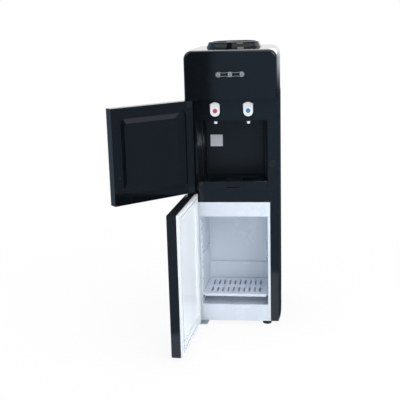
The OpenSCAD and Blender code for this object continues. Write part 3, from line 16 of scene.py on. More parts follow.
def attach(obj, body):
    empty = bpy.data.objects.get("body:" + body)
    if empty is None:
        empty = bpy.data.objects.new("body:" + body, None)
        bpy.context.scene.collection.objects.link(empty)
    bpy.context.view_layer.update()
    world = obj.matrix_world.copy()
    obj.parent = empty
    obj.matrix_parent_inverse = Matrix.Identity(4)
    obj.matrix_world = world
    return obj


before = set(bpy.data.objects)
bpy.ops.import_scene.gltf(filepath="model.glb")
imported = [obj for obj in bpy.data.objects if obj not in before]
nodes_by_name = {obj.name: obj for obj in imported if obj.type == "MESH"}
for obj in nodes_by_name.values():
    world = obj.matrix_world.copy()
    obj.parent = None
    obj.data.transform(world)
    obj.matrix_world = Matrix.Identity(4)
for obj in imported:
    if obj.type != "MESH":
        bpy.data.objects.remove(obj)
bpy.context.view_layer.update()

# %% [markdown]
# ## The camera
# The photograph was taken from a little above and to the right. Its angles, distance and lens come from a
# camera fitted to the corners of the cabinet, so the camera is set once and needs no shift.

# %% Camera
CAMERA_PLACE = Vector((0.2070, -2.6526, 1.0406))
CAMERA_YAW = math.radians(-7.22)
CAMERA_PITCH = math.radians(13.387)
CAMERA_ROLL = math.radians(-1.658)
CAMERA_LENS = 70.34
CAMERA_SENSOR = 36
CAMERA_REACH = 50


def camera_axes(yaw, pitch, roll):
    """Right, up and forward of a camera that is turned, tipped down and rolled."""
    forward = Vector((math.sin(yaw) * math.cos(pitch), math.cos(yaw) * math.cos(pitch), -math.sin(pitch)))
    level = Vector((math.cos(yaw), -math.sin(yaw), 0))
    over = level.cross(forward)
    right = math.cos(roll) * level + math.sin(roll) * over
    up = -math.sin(roll) * level + math.cos(roll) * over
    return right, up, forward


right, up, forward = camera_axes(CAMERA_YAW, CAMERA_PITCH, CAMERA_ROLL)
camera = bpy.data.objects.new("camera", bpy.data.cameras.new("camera"))
bpy.context.scene.collection.objects.link(camera)
turn = Matrix((right, up, -forward)).transposed().to_4x4()
camera.matrix_world = Matrix.Translation(CAMERA_PLACE) @ turn
camera.data.sensor_width = CAMERA_SENSOR
camera.data.lens = CAMERA_LENS
camera.data.clip_end = CAMERA_REACH
bpy.context.scene.camera = camera
bpy.context.scene.view_settings.view_transform = "Standard"
print("camera", tuple(camera.location), "lens", CAMERA_LENS)

# %% [markdown]
# ## The white studio
# The photograph has a pure white background. The world and the floor show white to the camera, to
# reflections and through clear plastic, while the light that falls on the cooler stays at a plain level.
# Near the cooler the floor keeps part of its real shading, so the shadow stays on it, and further out it
# fades to plain white.


# %% World
def seen_directly(nodes, links):
    """A mask that is 1 for what the camera, a reflection or clear plastic sees."""
    path = nodes.new("ShaderNodeLightPath")
    first = nodes.new("ShaderNodeMath")
    first.operation = "MAXIMUM"
    both = nodes.new("ShaderNodeMath")
    both.operation = "MAXIMUM"
    links.new(path.outputs["Is Camera Ray"], first.inputs[0])
    links.new(path.outputs["Is Glossy Ray"], first.inputs[1])
    links.new(first.outputs[0], both.inputs[0])
    links.new(path.outputs["Is Transmission Ray"], both.inputs[1])
    return both.outputs[0]


WHITE = (1, 1, 1, 1)
WORLD_LIGHT = (0.84, 0.91, 1.0, 1)
WORLD_STRENGTH = 0.64
world = bpy.data.worlds.new("white_studio")
bpy.context.scene.world = world
world.use_nodes = True
nodes, links = world.node_tree.nodes, world.node_tree.links
nodes.clear()
lit = nodes.new("ShaderNodeBackground")
lit.inputs["Color"].default_value = WORLD_LIGHT
lit.inputs["Strength"].default_value = WORLD_STRENGTH
seen = nodes.new("ShaderNodeBackground")
seen.inputs["Color"].default_value = WHITE
seen.inputs["Strength"].default_value = 1.0
choose = nodes.new("ShaderNodeMixShader")
links.new(seen_directly(nodes, links), choose.inputs[0])
links.new(lit.outputs[0], choose.inputs[1])
links.new(seen.outputs[0], choose.inputs[2])
links.new(choose.outputs[0], nodes.new("ShaderNodeOutputWorld").inputs[0])
print("world light", WORLD_STRENGTH)


# %% Floor
def make_object(name, bm):
    """A new object in the scene from a bmesh, which is freed."""
    mesh = bpy.data.meshes.new(name)
    bm.to_mesh(mesh)
    bm.free()
    obj = bpy.data.objects.new(name, mesh)
    bpy.context.scene.collection.objects.link(obj)
    return obj


FLOOR_SIZE = 14.0
FLOOR_SQUARES = 12
FLOOR_GREY = (0.9, 0.9, 0.9, 1)
FLOOR_WHITENESS = 0.9
FADE_START, FADE_END = 0.5, 1.5
bm = bmesh.new()
bmesh.ops.create_grid(bm, x_segments=FLOOR_SQUARES, y_segments=FLOOR_SQUARES, size=FLOOR_SIZE)
floor = make_object("studio_floor", bm)
floor_paint = bpy.data.materials.new("studio_floor")
floor_paint.use_nodes = True
nodes, links = floor_paint.node_tree.nodes, floor_paint.node_tree.links
nodes.clear()
matt = nodes.new("ShaderNodeBsdfDiffuse")
matt.inputs["Color"].default_value = FLOOR_GREY
glow = nodes.new("ShaderNodeEmission")
glow.inputs["Color"].default_value = WHITE
glow.inputs["Strength"].default_value = 1.0
place = nodes.new("ShaderNodeNewGeometry")
away = nodes.new("ShaderNodeVectorMath")
away.operation = "LENGTH"
whiteness = nodes.new("ShaderNodeMapRange")
whiteness.inputs["From Min"].default_value = FADE_START
whiteness.inputs["From Max"].default_value = FADE_END
whiteness.inputs["To Min"].default_value = FLOOR_WHITENESS
links.new(place.outputs["Position"], away.inputs[0])
links.new(away.outputs["Value"], whiteness.inputs["Value"])
share = nodes.new("ShaderNodeMath")
share.operation = "MULTIPLY"
links.new(whiteness.outputs["Result"], share.inputs[1])
links.new(seen_directly(nodes, links), share.inputs[0])
mix = nodes.new("ShaderNodeMixShader")
links.new(share.outputs[0], mix.inputs[0])
links.new(matt.outputs[0], mix.inputs[1])
links.new(glow.outputs[0], mix.inputs[2])
links.new(mix.outputs[0], nodes.new("ShaderNodeOutputMaterial").inputs[0])
floor.data.materials.append(floor_paint)
print("floor", FLOOR_SIZE, "m each way")

# %% [markdown]
# Gloss black is only as good as what it mirrors. A grey surround lies on the floor beyond the white sheet,
# a darker card lies on the floor at the right, a grey wall stands far round the front and sides, and a
# black flag stands in front at the left. So black faces read dark, and their rims still catch white. Only
# reflections see these cards: the camera, the light on the cooler and the shadows ignore them.


# %% Paint for the cards
def card_light(name):
    """A material that only glows, with its node tree and its emission."""
    made = bpy.data.materials.new(name)
    made.use_nodes = True
    tree = made.node_tree
    tree.nodes.clear()
    light = tree.nodes.new("ShaderNodeEmission")
    tree.links.new(light.outputs[0], tree.nodes.new("ShaderNodeOutputMaterial").inputs[0])
    return made, tree, light


def even_paint(name, colour):
    """A glow of one colour."""
    made, _, light = card_light(name)
    light.inputs["Color"].default_value = (*colour, 1)
    return made


def fading_paint(name, near_colour, far_colour, near, far):
    """A glow whose colour changes with the distance from the cooler."""
    made, tree, light = card_light(name)
    nodes, link = tree.nodes, tree.links.new
    place = nodes.new("ShaderNodeTexCoord")
    away = nodes.new("ShaderNodeVectorMath")
    away.operation = "LENGTH"
    link(place.outputs["Object"], away.inputs[0])
    span = nodes.new("ShaderNodeMapRange")
    span.interpolation_type = "SMOOTHSTEP"
    span.inputs["From Min"].default_value = near
    span.inputs["From Max"].default_value = far
    link(away.outputs["Value"], span.inputs["Value"])
    colour = nodes.new("ShaderNodeMix")
    colour.data_type = "RGBA"
    colour.inputs[6].default_value = (*near_colour, 1)
    colour.inputs[7].default_value = (*far_colour, 1)
    link(span.outputs["Result"], colour.inputs[0])
    link(colour.outputs[2], light.inputs["Color"])
    return made


print("card paints ready")


# %% Cards for reflections
def reflected_only(obj, paint):
    """Makes a stage card that only glossy rays meet."""
    obj.data.materials.append(paint)
    obj.visible_camera = False
    obj.visible_diffuse = False
    obj.visible_shadow = False
    obj.visible_transmission = False


def flat_card(name, across, along, height, paint):
    """A card lying at the given height, between two values of x and two of y."""
    (left, right), (front, back) = across, along
    bm = bmesh.new()
    corners = [(left, front), (right, front), (right, back), (left, back)]
    bm.faces.new([bm.verts.new((x, y, height)) for x, y in corners])
    reflected_only(make_object(name, bm), paint)


def curved_wall(name, radius, start, end, height, paint):
    """A wall on an arc round the cooler, from one compass angle to the other."""
    bm = bmesh.new()
    pairs = []
    for i in range(WALL_STEPS + 1):
        angle = math.radians(start + (end - start) * i / WALL_STEPS)
        x, y = radius * math.cos(angle), radius * math.sin(angle)
        pairs.append((bm.verts.new((x, y, 0.0)), bm.verts.new((x, y, height))))
    for (a, b), (c, d) in zip(pairs, pairs[1:]):
        bm.faces.new((a, c, d, b))
    reflected_only(make_object(name, bm), paint)


def standing_card(name, across, place_y, height, paint):
    """A card that stands across the view, and shows as a reflection in the front faces."""
    left, right = across
    bm = bmesh.new()
    corners = [(left, 0.0), (right, 0.0), (right, height), (left, height)]
    bm.faces.new([bm.verts.new((x, place_y, z)) for x, z in corners])
    reflected_only(make_object(name, bm), paint)


SLATE = (0.28, 0.38, 0.52)
PALE_SLATE = (0.7, 0.76, 0.82)
SHEET_EDGE = (0.95, 1.05, 1.25)
NEAR_BLACK = (0.03, 0.045, 0.06)
FAR = 60.0
GREY_HEIGHT, DARK_HEIGHT = 0.003, 0.004
SHEET_REACH = (0.66, 0.72)
SURROUND_BACK, SURROUND_LEFT = 0.3, -1.2
DARK_ACROSS, DARK_ALONG, DARK_FADE = (0.16, 12.0), (-0.15, 40.0), (7.5, 15.0)
WALL_RADIUS, WALL_ARC, WALL_HEIGHT, WALL_STEPS = 12.0, (110, 385), 8.0, 40
FLAG_ACROSS, FLAG_Y, FLAG_HEIGHT = (-2.6, -0.47), -4.0, 8.0

flat_card("grey_surround", (-FAR, FAR), (-FAR, SURROUND_BACK), GREY_HEIGHT,
          fading_paint("grey_surround", SHEET_EDGE, SLATE, *SHEET_REACH))
flat_card("grey_left", (-FAR, SURROUND_LEFT), (SURROUND_BACK, FAR), GREY_HEIGHT,
          even_paint("grey_left", SLATE))
flat_card("dark_floor_behind", DARK_ACROSS, DARK_ALONG, DARK_HEIGHT,
          fading_paint("dark_floor_behind", NEAR_BLACK, PALE_SLATE, *DARK_FADE))
curved_wall("grey_wall", WALL_RADIUS, *WALL_ARC, WALL_HEIGHT, even_paint("grey_wall", SLATE))
standing_card("dark_flag", FLAG_ACROSS, FLAG_Y, FLAG_HEIGHT, even_paint("dark_flag", NEAR_BLACK))
print("5 reflection cards")

# %% [markdown]
# Six soft boxes light the cooler. Three of them would draw hard white squares on the gloss black, so
# reflections don't see those. The table gives each lamp's place, the point that it faces, its size, its
# power in watts, its colour and whether reflections see it.


# %% Lamps
def soft_box(name, place, aim, size, power, colour, mirrored):
    """A square lamp of the given size that points at aim."""
    data = bpy.data.lights.new(name, "AREA")
    data.shape = "RECTANGLE"
    data.size, data.size_y = size
    data.energy = power
    data.color = colour
    lamp = bpy.data.objects.new(name, data)
    bpy.context.scene.collection.objects.link(lamp)
    lamp.location = place
    lamp.rotation_euler = (Vector(aim) - Vector(place)).to_track_quat("-Z", "Y").to_euler()
    lamp.visible_camera = False
    lamp.visible_glossy = mirrored


FOOT, MIDDLE, TOP = (0, 0, 0.25), (0, 0, 0.55), (0, 0, 0.9)
WARM = (1.0, 0.985, 0.96)
NEUTRAL = (1.0, 1.0, 1.0)
LAMPS = {
    "key_box": ((1.5, -2.3, 2.1), MIDDLE, (1.3, 1.3), 22, WARM, True),
    "side_box": ((2.6, -0.5, 1.1), MIDDLE, (1.0, 1.4), 22, WARM, False),
    "fill_box": ((-2.0, -1.7, 1.5), MIDDLE, (1.2, 1.6), 16, NEUTRAL, False),
    "low_box": ((0.3, -3.0, 0.5), FOOT, (1.4, 0.8), 7, NEUTRAL, False),
    "top_box": ((0.1, 0.3, 2.7), TOP, (1.4, 1.4), 19, NEUTRAL, True),
    "back_box": ((0.2, 3.0, 1.7), TOP, (3.0, 1.0), 14, NEUTRAL, True),
}
for name, setting in LAMPS.items():
    soft_box(name, *setting)
print(len(LAMPS), "lamps")

# %% [markdown]
# ## Soft edges on the CAD solids
# A moulded or pressed edge is never knife sharp, and its small round is what catches the light. The CAD
# mesh itself stays as it is. Modifiers weld its corners, join its flat triangles, round its hard edges and
# shade the curved faces as one, which a shader could only fake. Shallow mouldings, such as the door panels,
# shade crisply at a smaller angle, and the head's broad faces stay level where they run into its curved
# edge. The table of rounded nodes gives each edge's radius in metres.


# %% Shading by angle, as geometry nodes
WELD_DISTANCE = 0.00002
SMOOTH_BELOW, CRISP_BELOW = 32, 12


def tidy_group(name, sharp_angle):
    """Welds corners that share a place, and shades smooth across every edge flatter than sharp_angle."""
    group = bpy.data.node_groups.new(name, "GeometryNodeTree")
    group.interface.new_socket("Geometry", in_out="INPUT", socket_type="NodeSocketGeometry")
    group.interface.new_socket("Geometry", in_out="OUTPUT", socket_type="NodeSocketGeometry")
    n, link = group.nodes, group.links.new
    weld = n.new("GeometryNodeMergeByDistance")
    weld.inputs["Distance"].default_value = WELD_DISTANCE
    clear = n.new("GeometryNodeRemoveAttribute")
    clear.inputs["Name"].default_value = "custom_normal"
    smooth = n.new("GeometryNodeSetShadeSmooth")
    smooth.domain = "FACE"
    sharp = n.new("GeometryNodeSetShadeSmooth")
    sharp.domain = "EDGE"
    sharp.inputs["Shade Smooth"].default_value = False
    angle = n.new("GeometryNodeInputMeshEdgeAngle")
    above = n.new("FunctionNodeCompare")
    above.data_type = "FLOAT"
    above.operation = "GREATER_THAN"
    above.inputs[1].default_value = math.radians(sharp_angle)
    link(n.new("NodeGroupInput").outputs[0], weld.inputs["Geometry"])
    link(weld.outputs[0], clear.inputs["Geometry"])
    link(clear.outputs[0], smooth.inputs["Geometry"])
    link(smooth.outputs[0], sharp.inputs["Geometry"])
    link(angle.outputs["Unsigned Angle"], above.inputs[0])
    link(above.outputs[0], sharp.inputs["Selection"])
    link(sharp.outputs[0], n.new("NodeGroupOutput").inputs[0])
    return group


tidy_mesh = tidy_group("weld_and_shade", SMOOTH_BELOW)
crisp_mesh = tidy_group("weld_and_shade_crisp", CRISP_BELOW)
CRISP = ("upper_door_panel", "upper_door_shell", "lower_door_shell", "lower_door_liner", "storage_liner")


def shade(obj):
    """Shades curved faces as one and keeps true edges crisp."""
    step = obj.modifiers.new("shade", "NODES")
    step.node_group = crisp_mesh if obj.name in CRISP else tidy_mesh


FLAT_WITHIN = math.radians(0.6)
ROUND_ABOVE = math.radians(38)
ROUND_STEPS = 2


def round_edges(obj, radius):
    """Rounds the hard edges of a CAD solid without touching its mesh."""
    shade(obj)
    flat = obj.modifiers.new("flat_faces", "DECIMATE")
    flat.decimate_type = "DISSOLVE"
    flat.angle_limit = FLAT_WITHIN
    edge = obj.modifiers.new("round", "BEVEL")
    edge.width = radius
    edge.segments = ROUND_STEPS
    edge.limit_method = "ANGLE"
    edge.angle_limit = ROUND_ABOVE
    edge.use_clamp_overlap = True
    edge.harden_normals = False
    shade(obj)


ROUNDED = {
    "front_frame": 0.0012, "bay_liner": 0.0015, "storage_liner": 0.001, "shelf": 0.0006,
    "drip_tray": 0.001, "drip_cover": 0.0005,
    "upper_door_shell": 0.0012, "upper_door_panel": 0.0012, "lower_door_shell": 0.0012,
    "lower_door_liner": 0.0012, "lower_door_gasket": 0.0006, "door_catch": 0.0008,
    "top_hinge": 0.0005, "middle_hinge": 0.0005, "bottom_hinge": 0.0005,
    "hot_lever": 0.0008, "cold_lever": 0.0008, "hot_button": 0.0005, "cold_cap": 0.0005,
    "hot_tap_body": 0.0006, "cold_tap_body": 0.0006,
    "left_side_panel": 0.0004, "right_side_panel": 0.0004, "base_pan": 0.0004, "feet": 0.0008,
    "compressor": 0.0015, "drain_cap": 0.0006, "cord_gland": 0.0006,
    "switch_housing": 0.0006, "hot_switch": 0.0004, "cold_switch": 0.0004,
}
for name, obj in nodes_by_name.items():
    if name in ROUNDED:
        round_edges(obj, ROUNDED[name])
    else:
        shade(obj)
LEVEL_WEIGHT = 100
level = nodes_by_name["head_shell"].modifiers.new("level_flats", "WEIGHTED_NORMAL")
level.keep_sharp = True
level.weight = LEVEL_WEIGHT
print("rounded", len(ROUNDED), "of", len(nodes_by_name))

# %% [markdown]
# ## Effects that several finishes share
# Each effect is a node group with named inputs. It reads object coordinates, which for the CAD solids are
# metres in the shared frame, so a scale of 400 is a mark of about 2.5 mm on every piece. In the functions
# of this kit, a value is either a plain number or colour, or the socket that it comes from.


# %% A small kit for node groups
def effect(name, inputs, outputs):
    """An empty shader group with its sockets, and its input and output nodes."""
    group = bpy.data.node_groups.new(name, "ShaderNodeTree")
    for label, kind, value in inputs:
        socket = group.interface.new_socket(label, in_out="INPUT", socket_type=kind)
        socket.default_value = value
    for label, kind in outputs:
        group.interface.new_socket(label, in_out="OUTPUT", socket_type=kind)
    return group, group.nodes.new("NodeGroupInput"), group.nodes.new("NodeGroupOutput")


COLOUR, NUMBER, NORMAL = "NodeSocketColor", "NodeSocketFloat", "NodeSocketVector"


def feed(group, socket, value):
    """Sets a socket to a plain value, or links another socket to it."""
    if isinstance(value, (int, float, tuple)):
        socket.default_value = value
    else:
        group.links.new(value, socket)


def noise_at(group, scale, detail, stretch=None):
    """Noise in object coordinates."""
    n, link = group.nodes, group.links.new
    source = n.new("ShaderNodeTexCoord").outputs["Object"]
    if stretch:
        mapping = n.new("ShaderNodeMapping")
        mapping.inputs["Scale"].default_value = stretch
        link(source, mapping.inputs["Vector"])
        source = mapping.outputs[0]
    noise = n.new("ShaderNodeTexNoise")
    noise.inputs["Detail"].default_value = detail
    link(source, noise.inputs["Vector"])
    feed(group, noise.inputs["Scale"], scale)
    return noise.outputs["Fac"]


def remap(group, value, low, high, to_low, to_high):
    """Stretches a value from one span to another."""
    node = group.nodes.new("ShaderNodeMapRange")
    group.links.new(value, node.inputs["Value"])
    for label, bound in (("From Min", low), ("From Max", high), ("To Min", to_low), ("To Max", to_high)):
        feed(group, node.inputs[label], bound)
    return node.outputs["Result"]


def combine(group, operation, first, second):
    """Two values put together by a math operation."""
    node = group.nodes.new("ShaderNodeMath")
    node.operation = operation
    feed(group, node.inputs[0], first)
    feed(group, node.inputs[1], second)
    return node.outputs[0]


def blend_colours(group, factor, first, second):
    """One colour laid over another by a factor."""
    node = group.nodes.new("ShaderNodeMix")
    node.data_type = "RGBA"
    for index, value in ((0, factor), (6, first), (7, second)):
        feed(group, node.inputs[index], value)
    return node.outputs[2]


print("node kit ready")

# %% [markdown]
# **Tone drift.** No large moulding is one exact colour. A slow noise takes it a little lighter and darker.

# %% Tone drift
drift, inside, outside = effect(
    "tone_drift",
    [("Colour", COLOUR, (0.5, 0.5, 0.5, 1)), ("Other", COLOUR, (0.5, 0.5, 0.5, 1)), ("Scale", NUMBER, 6.0)],
    [("Colour", COLOUR)],
)
wide = noise_at(drift, inside.outputs["Scale"], 3)
share = remap(drift, wide, 0.35, 0.65, 0.0, 1.0)
mixed = blend_colours(drift, share, inside.outputs["Colour"], inside.outputs["Other"])
drift.links.new(mixed, outside.inputs["Colour"])
print("tone_drift made")

# %% [markdown]
# **Handling marks.** Gloss plastic shows wiped, faintly greasy patches: the colour stays and only the
# roughness changes. Two sizes of noise multiplied give soft streaks with smaller blotches inside.

# %% Handling marks
FINER_BY = 11.0
handling, inside, outside = effect(
    "handling_marks",
    [("Clean", NUMBER, 0.1), ("Wiped", NUMBER, 0.2), ("Scale", NUMBER, 9.0)],
    [("Roughness", NUMBER)],
)
broad = noise_at(handling, inside.outputs["Scale"], 4, stretch=(1.0, 1.0, 0.35))
blotch = noise_at(handling, combine(handling, "MULTIPLY", inside.outputs["Scale"], FINER_BY), 3)
smears = combine(handling, "MULTIPLY", remap(handling, broad, 0.4, 0.7, 0.0, 1.0),
                 remap(handling, blotch, 0.3, 0.7, 0.4, 1.0))
rough = remap(handling, smears, 0.0, 1.0, inside.outputs["Clean"], inside.outputs["Wiped"])
handling.links.new(rough, outside.inputs["Roughness"])
print("handling_marks made")

# %% [markdown]
# **Moulded skin.** Sprayed or moulded surfaces have a fine unevenness. On gloss it is a shallow, wide
# ripple, and on satin plastic a tight spark-eroded grain. One bump group serves both, with its own scale
# and depth.

# %% Moulded skin
SKIN_HEIGHT = 0.0004
GRAIN_SHARE = 0.4
skin, inside, outside = effect(
    "moulded_skin",
    [("Scale", NUMBER, 300.0), ("Depth", NUMBER, 0.1), ("Detail Scale", NUMBER, 1500.0)],
    [("Normal", NORMAL)],
)
ripple = noise_at(skin, inside.outputs["Scale"], 2)
grain = noise_at(skin, inside.outputs["Detail Scale"], 2)
total = combine(skin, "ADD", ripple, remap(skin, grain, 0.0, 1.0, 0.0, GRAIN_SHARE))
bump = skin.nodes.new("ShaderNodeBump")
bump.inputs["Distance"].default_value = SKIN_HEIGHT
skin.links.new(total, bump.inputs["Height"])
skin.links.new(inside.outputs["Depth"], bump.inputs["Strength"])
skin.links.new(bump.outputs["Normal"], outside.inputs["Normal"])
print("moulded_skin made")

# %% [markdown]
# **Settled dust.** A little dust lies on faces that look up. The mask is the upward part of the normal,
# broken up by noise, and each finish says how pale the dust is and how much of it there is.

# %% Settled dust
PATCH_SCALE = 55.0
dust, inside, outside = effect(
    "settled_dust",
    [("Colour", COLOUR, (0.5, 0.5, 0.5, 1)), ("Dust", COLOUR, (0.5, 0.48, 0.45, 1)),
     ("Amount", NUMBER, 0.1)],
    [("Colour", COLOUR)],
)
geometry = dust.nodes.new("ShaderNodeNewGeometry")
split = dust.nodes.new("ShaderNodeSeparateXYZ")
dust.links.new(geometry.outputs["Normal"], split.inputs[0])
facing_up = remap(dust, split.outputs["Z"], 0.5, 1.0, 0.0, 1.0)
patches = remap(dust, noise_at(dust, PATCH_SCALE, 6), 0.4, 0.75, 0.15, 1.0)
lying = combine(dust, "MULTIPLY", facing_up, patches)
cover = combine(dust, "MULTIPLY", lying, inside.outputs["Amount"])
dusty = blend_colours(dust, cover, inside.outputs["Colour"], inside.outputs["Dust"])
dust.links.new(dusty, outside.inputs["Colour"])
print("settled_dust made")

# %% [markdown]
# **Drawn grain.** Rolled and drawn metal has fine streaks along one direction. Noise squeezed along one
# axis gives the roughness its streaks, and gives a height for a Bump.

# %% Drawn grain
streaks, inside, outside = effect(
    "drawn_grain",
    [("Smooth", NUMBER, 0.25), ("Coarse", NUMBER, 0.45), ("Scale", NUMBER, 60.0)],
    [("Roughness", NUMBER), ("Height", NUMBER)],
)
lines = noise_at(streaks, inside.outputs["Scale"], 5, stretch=(14.0, 14.0, 0.6))
streaks.links.new(lines, outside.inputs["Height"])
uneven = remap(streaks, lines, 0.3, 0.7, inside.outputs["Smooth"], inside.outputs["Coarse"])
streaks.links.new(uneven, outside.inputs["Roughness"])
print("drawn_grain made")

# %% [markdown]
# ## Finishes
# Every finish is one Principled BSDF with the shared effects placed round it. What is the same all over the
# surface, such as the strength of its mirror reflection, is set on the shader's own socket.


# %% Placing effects in a finish
def finish(name):
    """A new material with its nodes, its link function and its Principled BSDF."""
    made = bpy.data.materials.new(name)
    made.use_nodes = True
    tree = made.node_tree
    return made, tree.nodes, tree.links.new, tree.nodes["Principled BSDF"]


def use(nodes, group, **values):
    """Places an effect in a material and sets its inputs. An underscore stands for a space."""
    node = nodes.new("ShaderNodeGroup")
    node.node_tree = group
    for label, value in values.items():
        node.inputs[label.replace("_", " ")].default_value = value
    return node


DUST_GREY = (0.42, 0.42, 0.42, 1)
TONE_SCALE, WIPE_SCALE = 5.0, 7.0
GRAIN_TO_RIPPLE = 5


def plastic(name, colour, other, clean, wiped, ripple, depth, dusty, level=0.5):
    """Moulded plastic: drifting colour, wiped patches, a moulded skin and a little dust."""
    made, nodes, link, shader = finish(name)
    tone = use(nodes, drift, Colour=(*colour, 1), Other=(*other, 1), Scale=TONE_SCALE)
    lying = use(nodes, dust, Dust=DUST_GREY, Amount=dusty)
    link(tone.outputs["Colour"], lying.inputs["Colour"])
    link(lying.outputs["Colour"], shader.inputs["Base Color"])
    marks = use(nodes, handling, Clean=clean, Wiped=wiped, Scale=WIPE_SCALE)
    link(marks.outputs["Roughness"], shader.inputs["Roughness"])
    surface = use(nodes, skin, Scale=ripple, Depth=depth, Detail_Scale=ripple * GRAIN_TO_RIPPLE)
    link(surface.outputs["Normal"], shader.inputs["Normal"])
    shader.inputs["Specular IOR Level"].default_value = level
    return made


gloss_black = plastic("gloss_black", (0.0035, 0.0045, 0.006), (0.0045, 0.006, 0.008),
                      clean=0.04, wiped=0.09, ripple=90, depth=0.02, dusty=0.02)
satin_black = plastic("satin_black", (0.008, 0.010, 0.012), (0.010, 0.013, 0.016),
                      clean=0.3, wiped=0.38, ripple=900, depth=0.16, dusty=0.02, level=0.42)
door_black = plastic("door_inner_black", (0.003, 0.004, 0.005), (0.004, 0.005, 0.007),
                     clean=0.06, wiped=0.11, ripple=600, depth=0.03, dusty=0.01, level=0.3)
liner_white = plastic("liner_white", (0.86, 0.88, 0.90), (0.84, 0.865, 0.89),
                      clean=0.2, wiped=0.3, ripple=140, depth=0.03, dusty=0.0)
# The storage liner's white is darker and bluer than the door liner's: painted shade of the cavity laid over
# the liner's own white.
cavity_liner_painted_shade = plastic("cavity_liner_painted_shade", (0.75, 0.80, 0.86), (0.74, 0.79, 0.855),
                       clean=0.24, wiped=0.34, ripple=140, depth=0.03, dusty=0.01, level=0.45)
shelf_grey = plastic("shelf_grey", (0.78, 0.82, 0.90), (0.76, 0.805, 0.89),
                     clean=0.28, wiped=0.38, ripple=500, depth=0.06, dusty=0.02, level=0.45)
lever_white = plastic("lever_white", (0.84, 0.85, 0.86), (0.82, 0.835, 0.85),
                      clean=0.16, wiped=0.26, ripple=200, depth=0.03, dusty=0.0)
button_red = plastic("button_red", (0.62, 0.075, 0.09), (0.56, 0.065, 0.08),
                     clean=0.2, wiped=0.3, ripple=200, depth=0.04, dusty=0.0)
cap_blue = plastic("cap_blue", (0.07, 0.25, 0.56), (0.06, 0.22, 0.50),
                   clean=0.2, wiped=0.3, ripple=200, depth=0.04, dusty=0.0)
rocker_green = plastic("rocker_green", (0.02, 0.34, 0.09), (0.02, 0.28, 0.07),
                       clean=0.16, wiped=0.26, ripple=300, depth=0.05, dusty=0.04)
nylon_cream = plastic("nylon_cream", (0.80, 0.78, 0.71), (0.74, 0.72, 0.64),
                      clean=0.4, wiped=0.5, ripple=500, depth=0.08, dusty=0.05, level=0.4)
bezel_silver = plastic("bezel_silver", (0.33, 0.335, 0.34), (0.29, 0.295, 0.3),
                       clean=0.3, wiped=0.42, ripple=300, depth=0.03, dusty=0.0)
print("plastics made")

# %% [markdown]
# Painted steel is a coloured coat over metal, so it is a dielectric with a finer, tighter orange peel than
# moulded plastic, and the back of the machine gathers more dust.

# %% Paint, enamel and rubber
paint_black = plastic("paint_black", (0.010, 0.011, 0.013), (0.014, 0.015, 0.018),
                      clean=0.16, wiped=0.3, ripple=420, depth=0.12, dusty=0.06, level=0.45)
enamel_black = plastic("enamel_black", (0.008, 0.008, 0.009), (0.016, 0.015, 0.014),
                       clean=0.28, wiped=0.42, ripple=500, depth=0.12, dusty=0.2, level=0.45)
rubber_black = plastic("rubber_black", (0.018, 0.018, 0.018), (0.026, 0.026, 0.025),
                       clean=0.6, wiped=0.75, ripple=700, depth=0.2, dusty=0.12, level=0.3)
rubber_grey = plastic("rubber_grey", (0.72, 0.75, 0.78), (0.68, 0.71, 0.74),
                      clean=0.5, wiped=0.62, ripple=600, depth=0.14, dusty=0.03, level=0.35)
silicone = plastic("silicone_tube", (0.72, 0.75, 0.76), (0.66, 0.7, 0.7),
                   clean=0.3, wiped=0.42, ripple=200, depth=0.05, dusty=0.03, level=0.4)
board_green = plastic("board_green", (0.01, 0.14, 0.05), (0.015, 0.18, 0.07),
                      clean=0.2, wiped=0.36, ripple=700, depth=0.16, dusty=0.06)
print("paint, enamel and rubber made")


# %% [markdown]
# Bare metal reflects in its own colour. The grain changes the roughness along the drawing direction, and a
# darker oxide tone drifts over it. Zinc plate is duller than drawn steel, and copper browns in patches.

# %% Metals
METAL_DUST = (0.40, 0.38, 0.35, 1)
METAL_DUSTY = 0.1
OXIDE_SCALE = 22.0
STREAK_HEIGHT = 0.0002


def metal(name, colour, other, smooth, coarse, grain_scale, depth):
    """Drawn or plated metal with streaks and a drifting tone."""
    made, nodes, link, shader = finish(name)
    tone = use(nodes, drift, Colour=(*colour, 1), Other=(*other, 1), Scale=OXIDE_SCALE)
    lying = use(nodes, dust, Dust=METAL_DUST, Amount=METAL_DUSTY)
    link(tone.outputs["Colour"], lying.inputs["Colour"])
    link(lying.outputs["Colour"], shader.inputs["Base Color"])
    grain = use(nodes, streaks, Smooth=smooth, Coarse=coarse, Scale=grain_scale)
    link(grain.outputs["Roughness"], shader.inputs["Roughness"])
    bump = nodes.new("ShaderNodeBump")
    bump.inputs["Distance"].default_value = STREAK_HEIGHT
    bump.inputs["Strength"].default_value = depth
    link(grain.outputs["Height"], bump.inputs["Height"])
    link(bump.outputs["Normal"], shader.inputs["Normal"])
    shader.inputs["Metallic"].default_value = 1.0
    return made


steel = metal("drawn_steel", (0.56, 0.57, 0.58), (0.46, 0.47, 0.48),
              smooth=0.22, coarse=0.36, grain_scale=60, depth=0.15)
zinc = metal("zinc_plate", (0.60, 0.61, 0.60), (0.50, 0.50, 0.48),
             smooth=0.34, coarse=0.5, grain_scale=40, depth=0.12)
copper = metal("bare_copper", (0.62, 0.30, 0.17), (0.44, 0.21, 0.12),
               smooth=0.24, coarse=0.4, grain_scale=50, depth=0.1)
plated_grey = metal("plated_grey", (0.50, 0.53, 0.55), (0.44, 0.47, 0.49),
                    smooth=0.36, coarse=0.5, grain_scale=40, depth=0.1)
dark_steel = metal("blackened_steel", (0.05, 0.052, 0.056), (0.035, 0.036, 0.04),
                   smooth=0.3, coarse=0.44, grain_scale=60, depth=0.1)
print("metals made")

# %% [markdown]
# Rigid foam is poured in place and shows burst cells where it is cut. Voronoi cells give its pitted height,
# and its yellow drifts to brown.

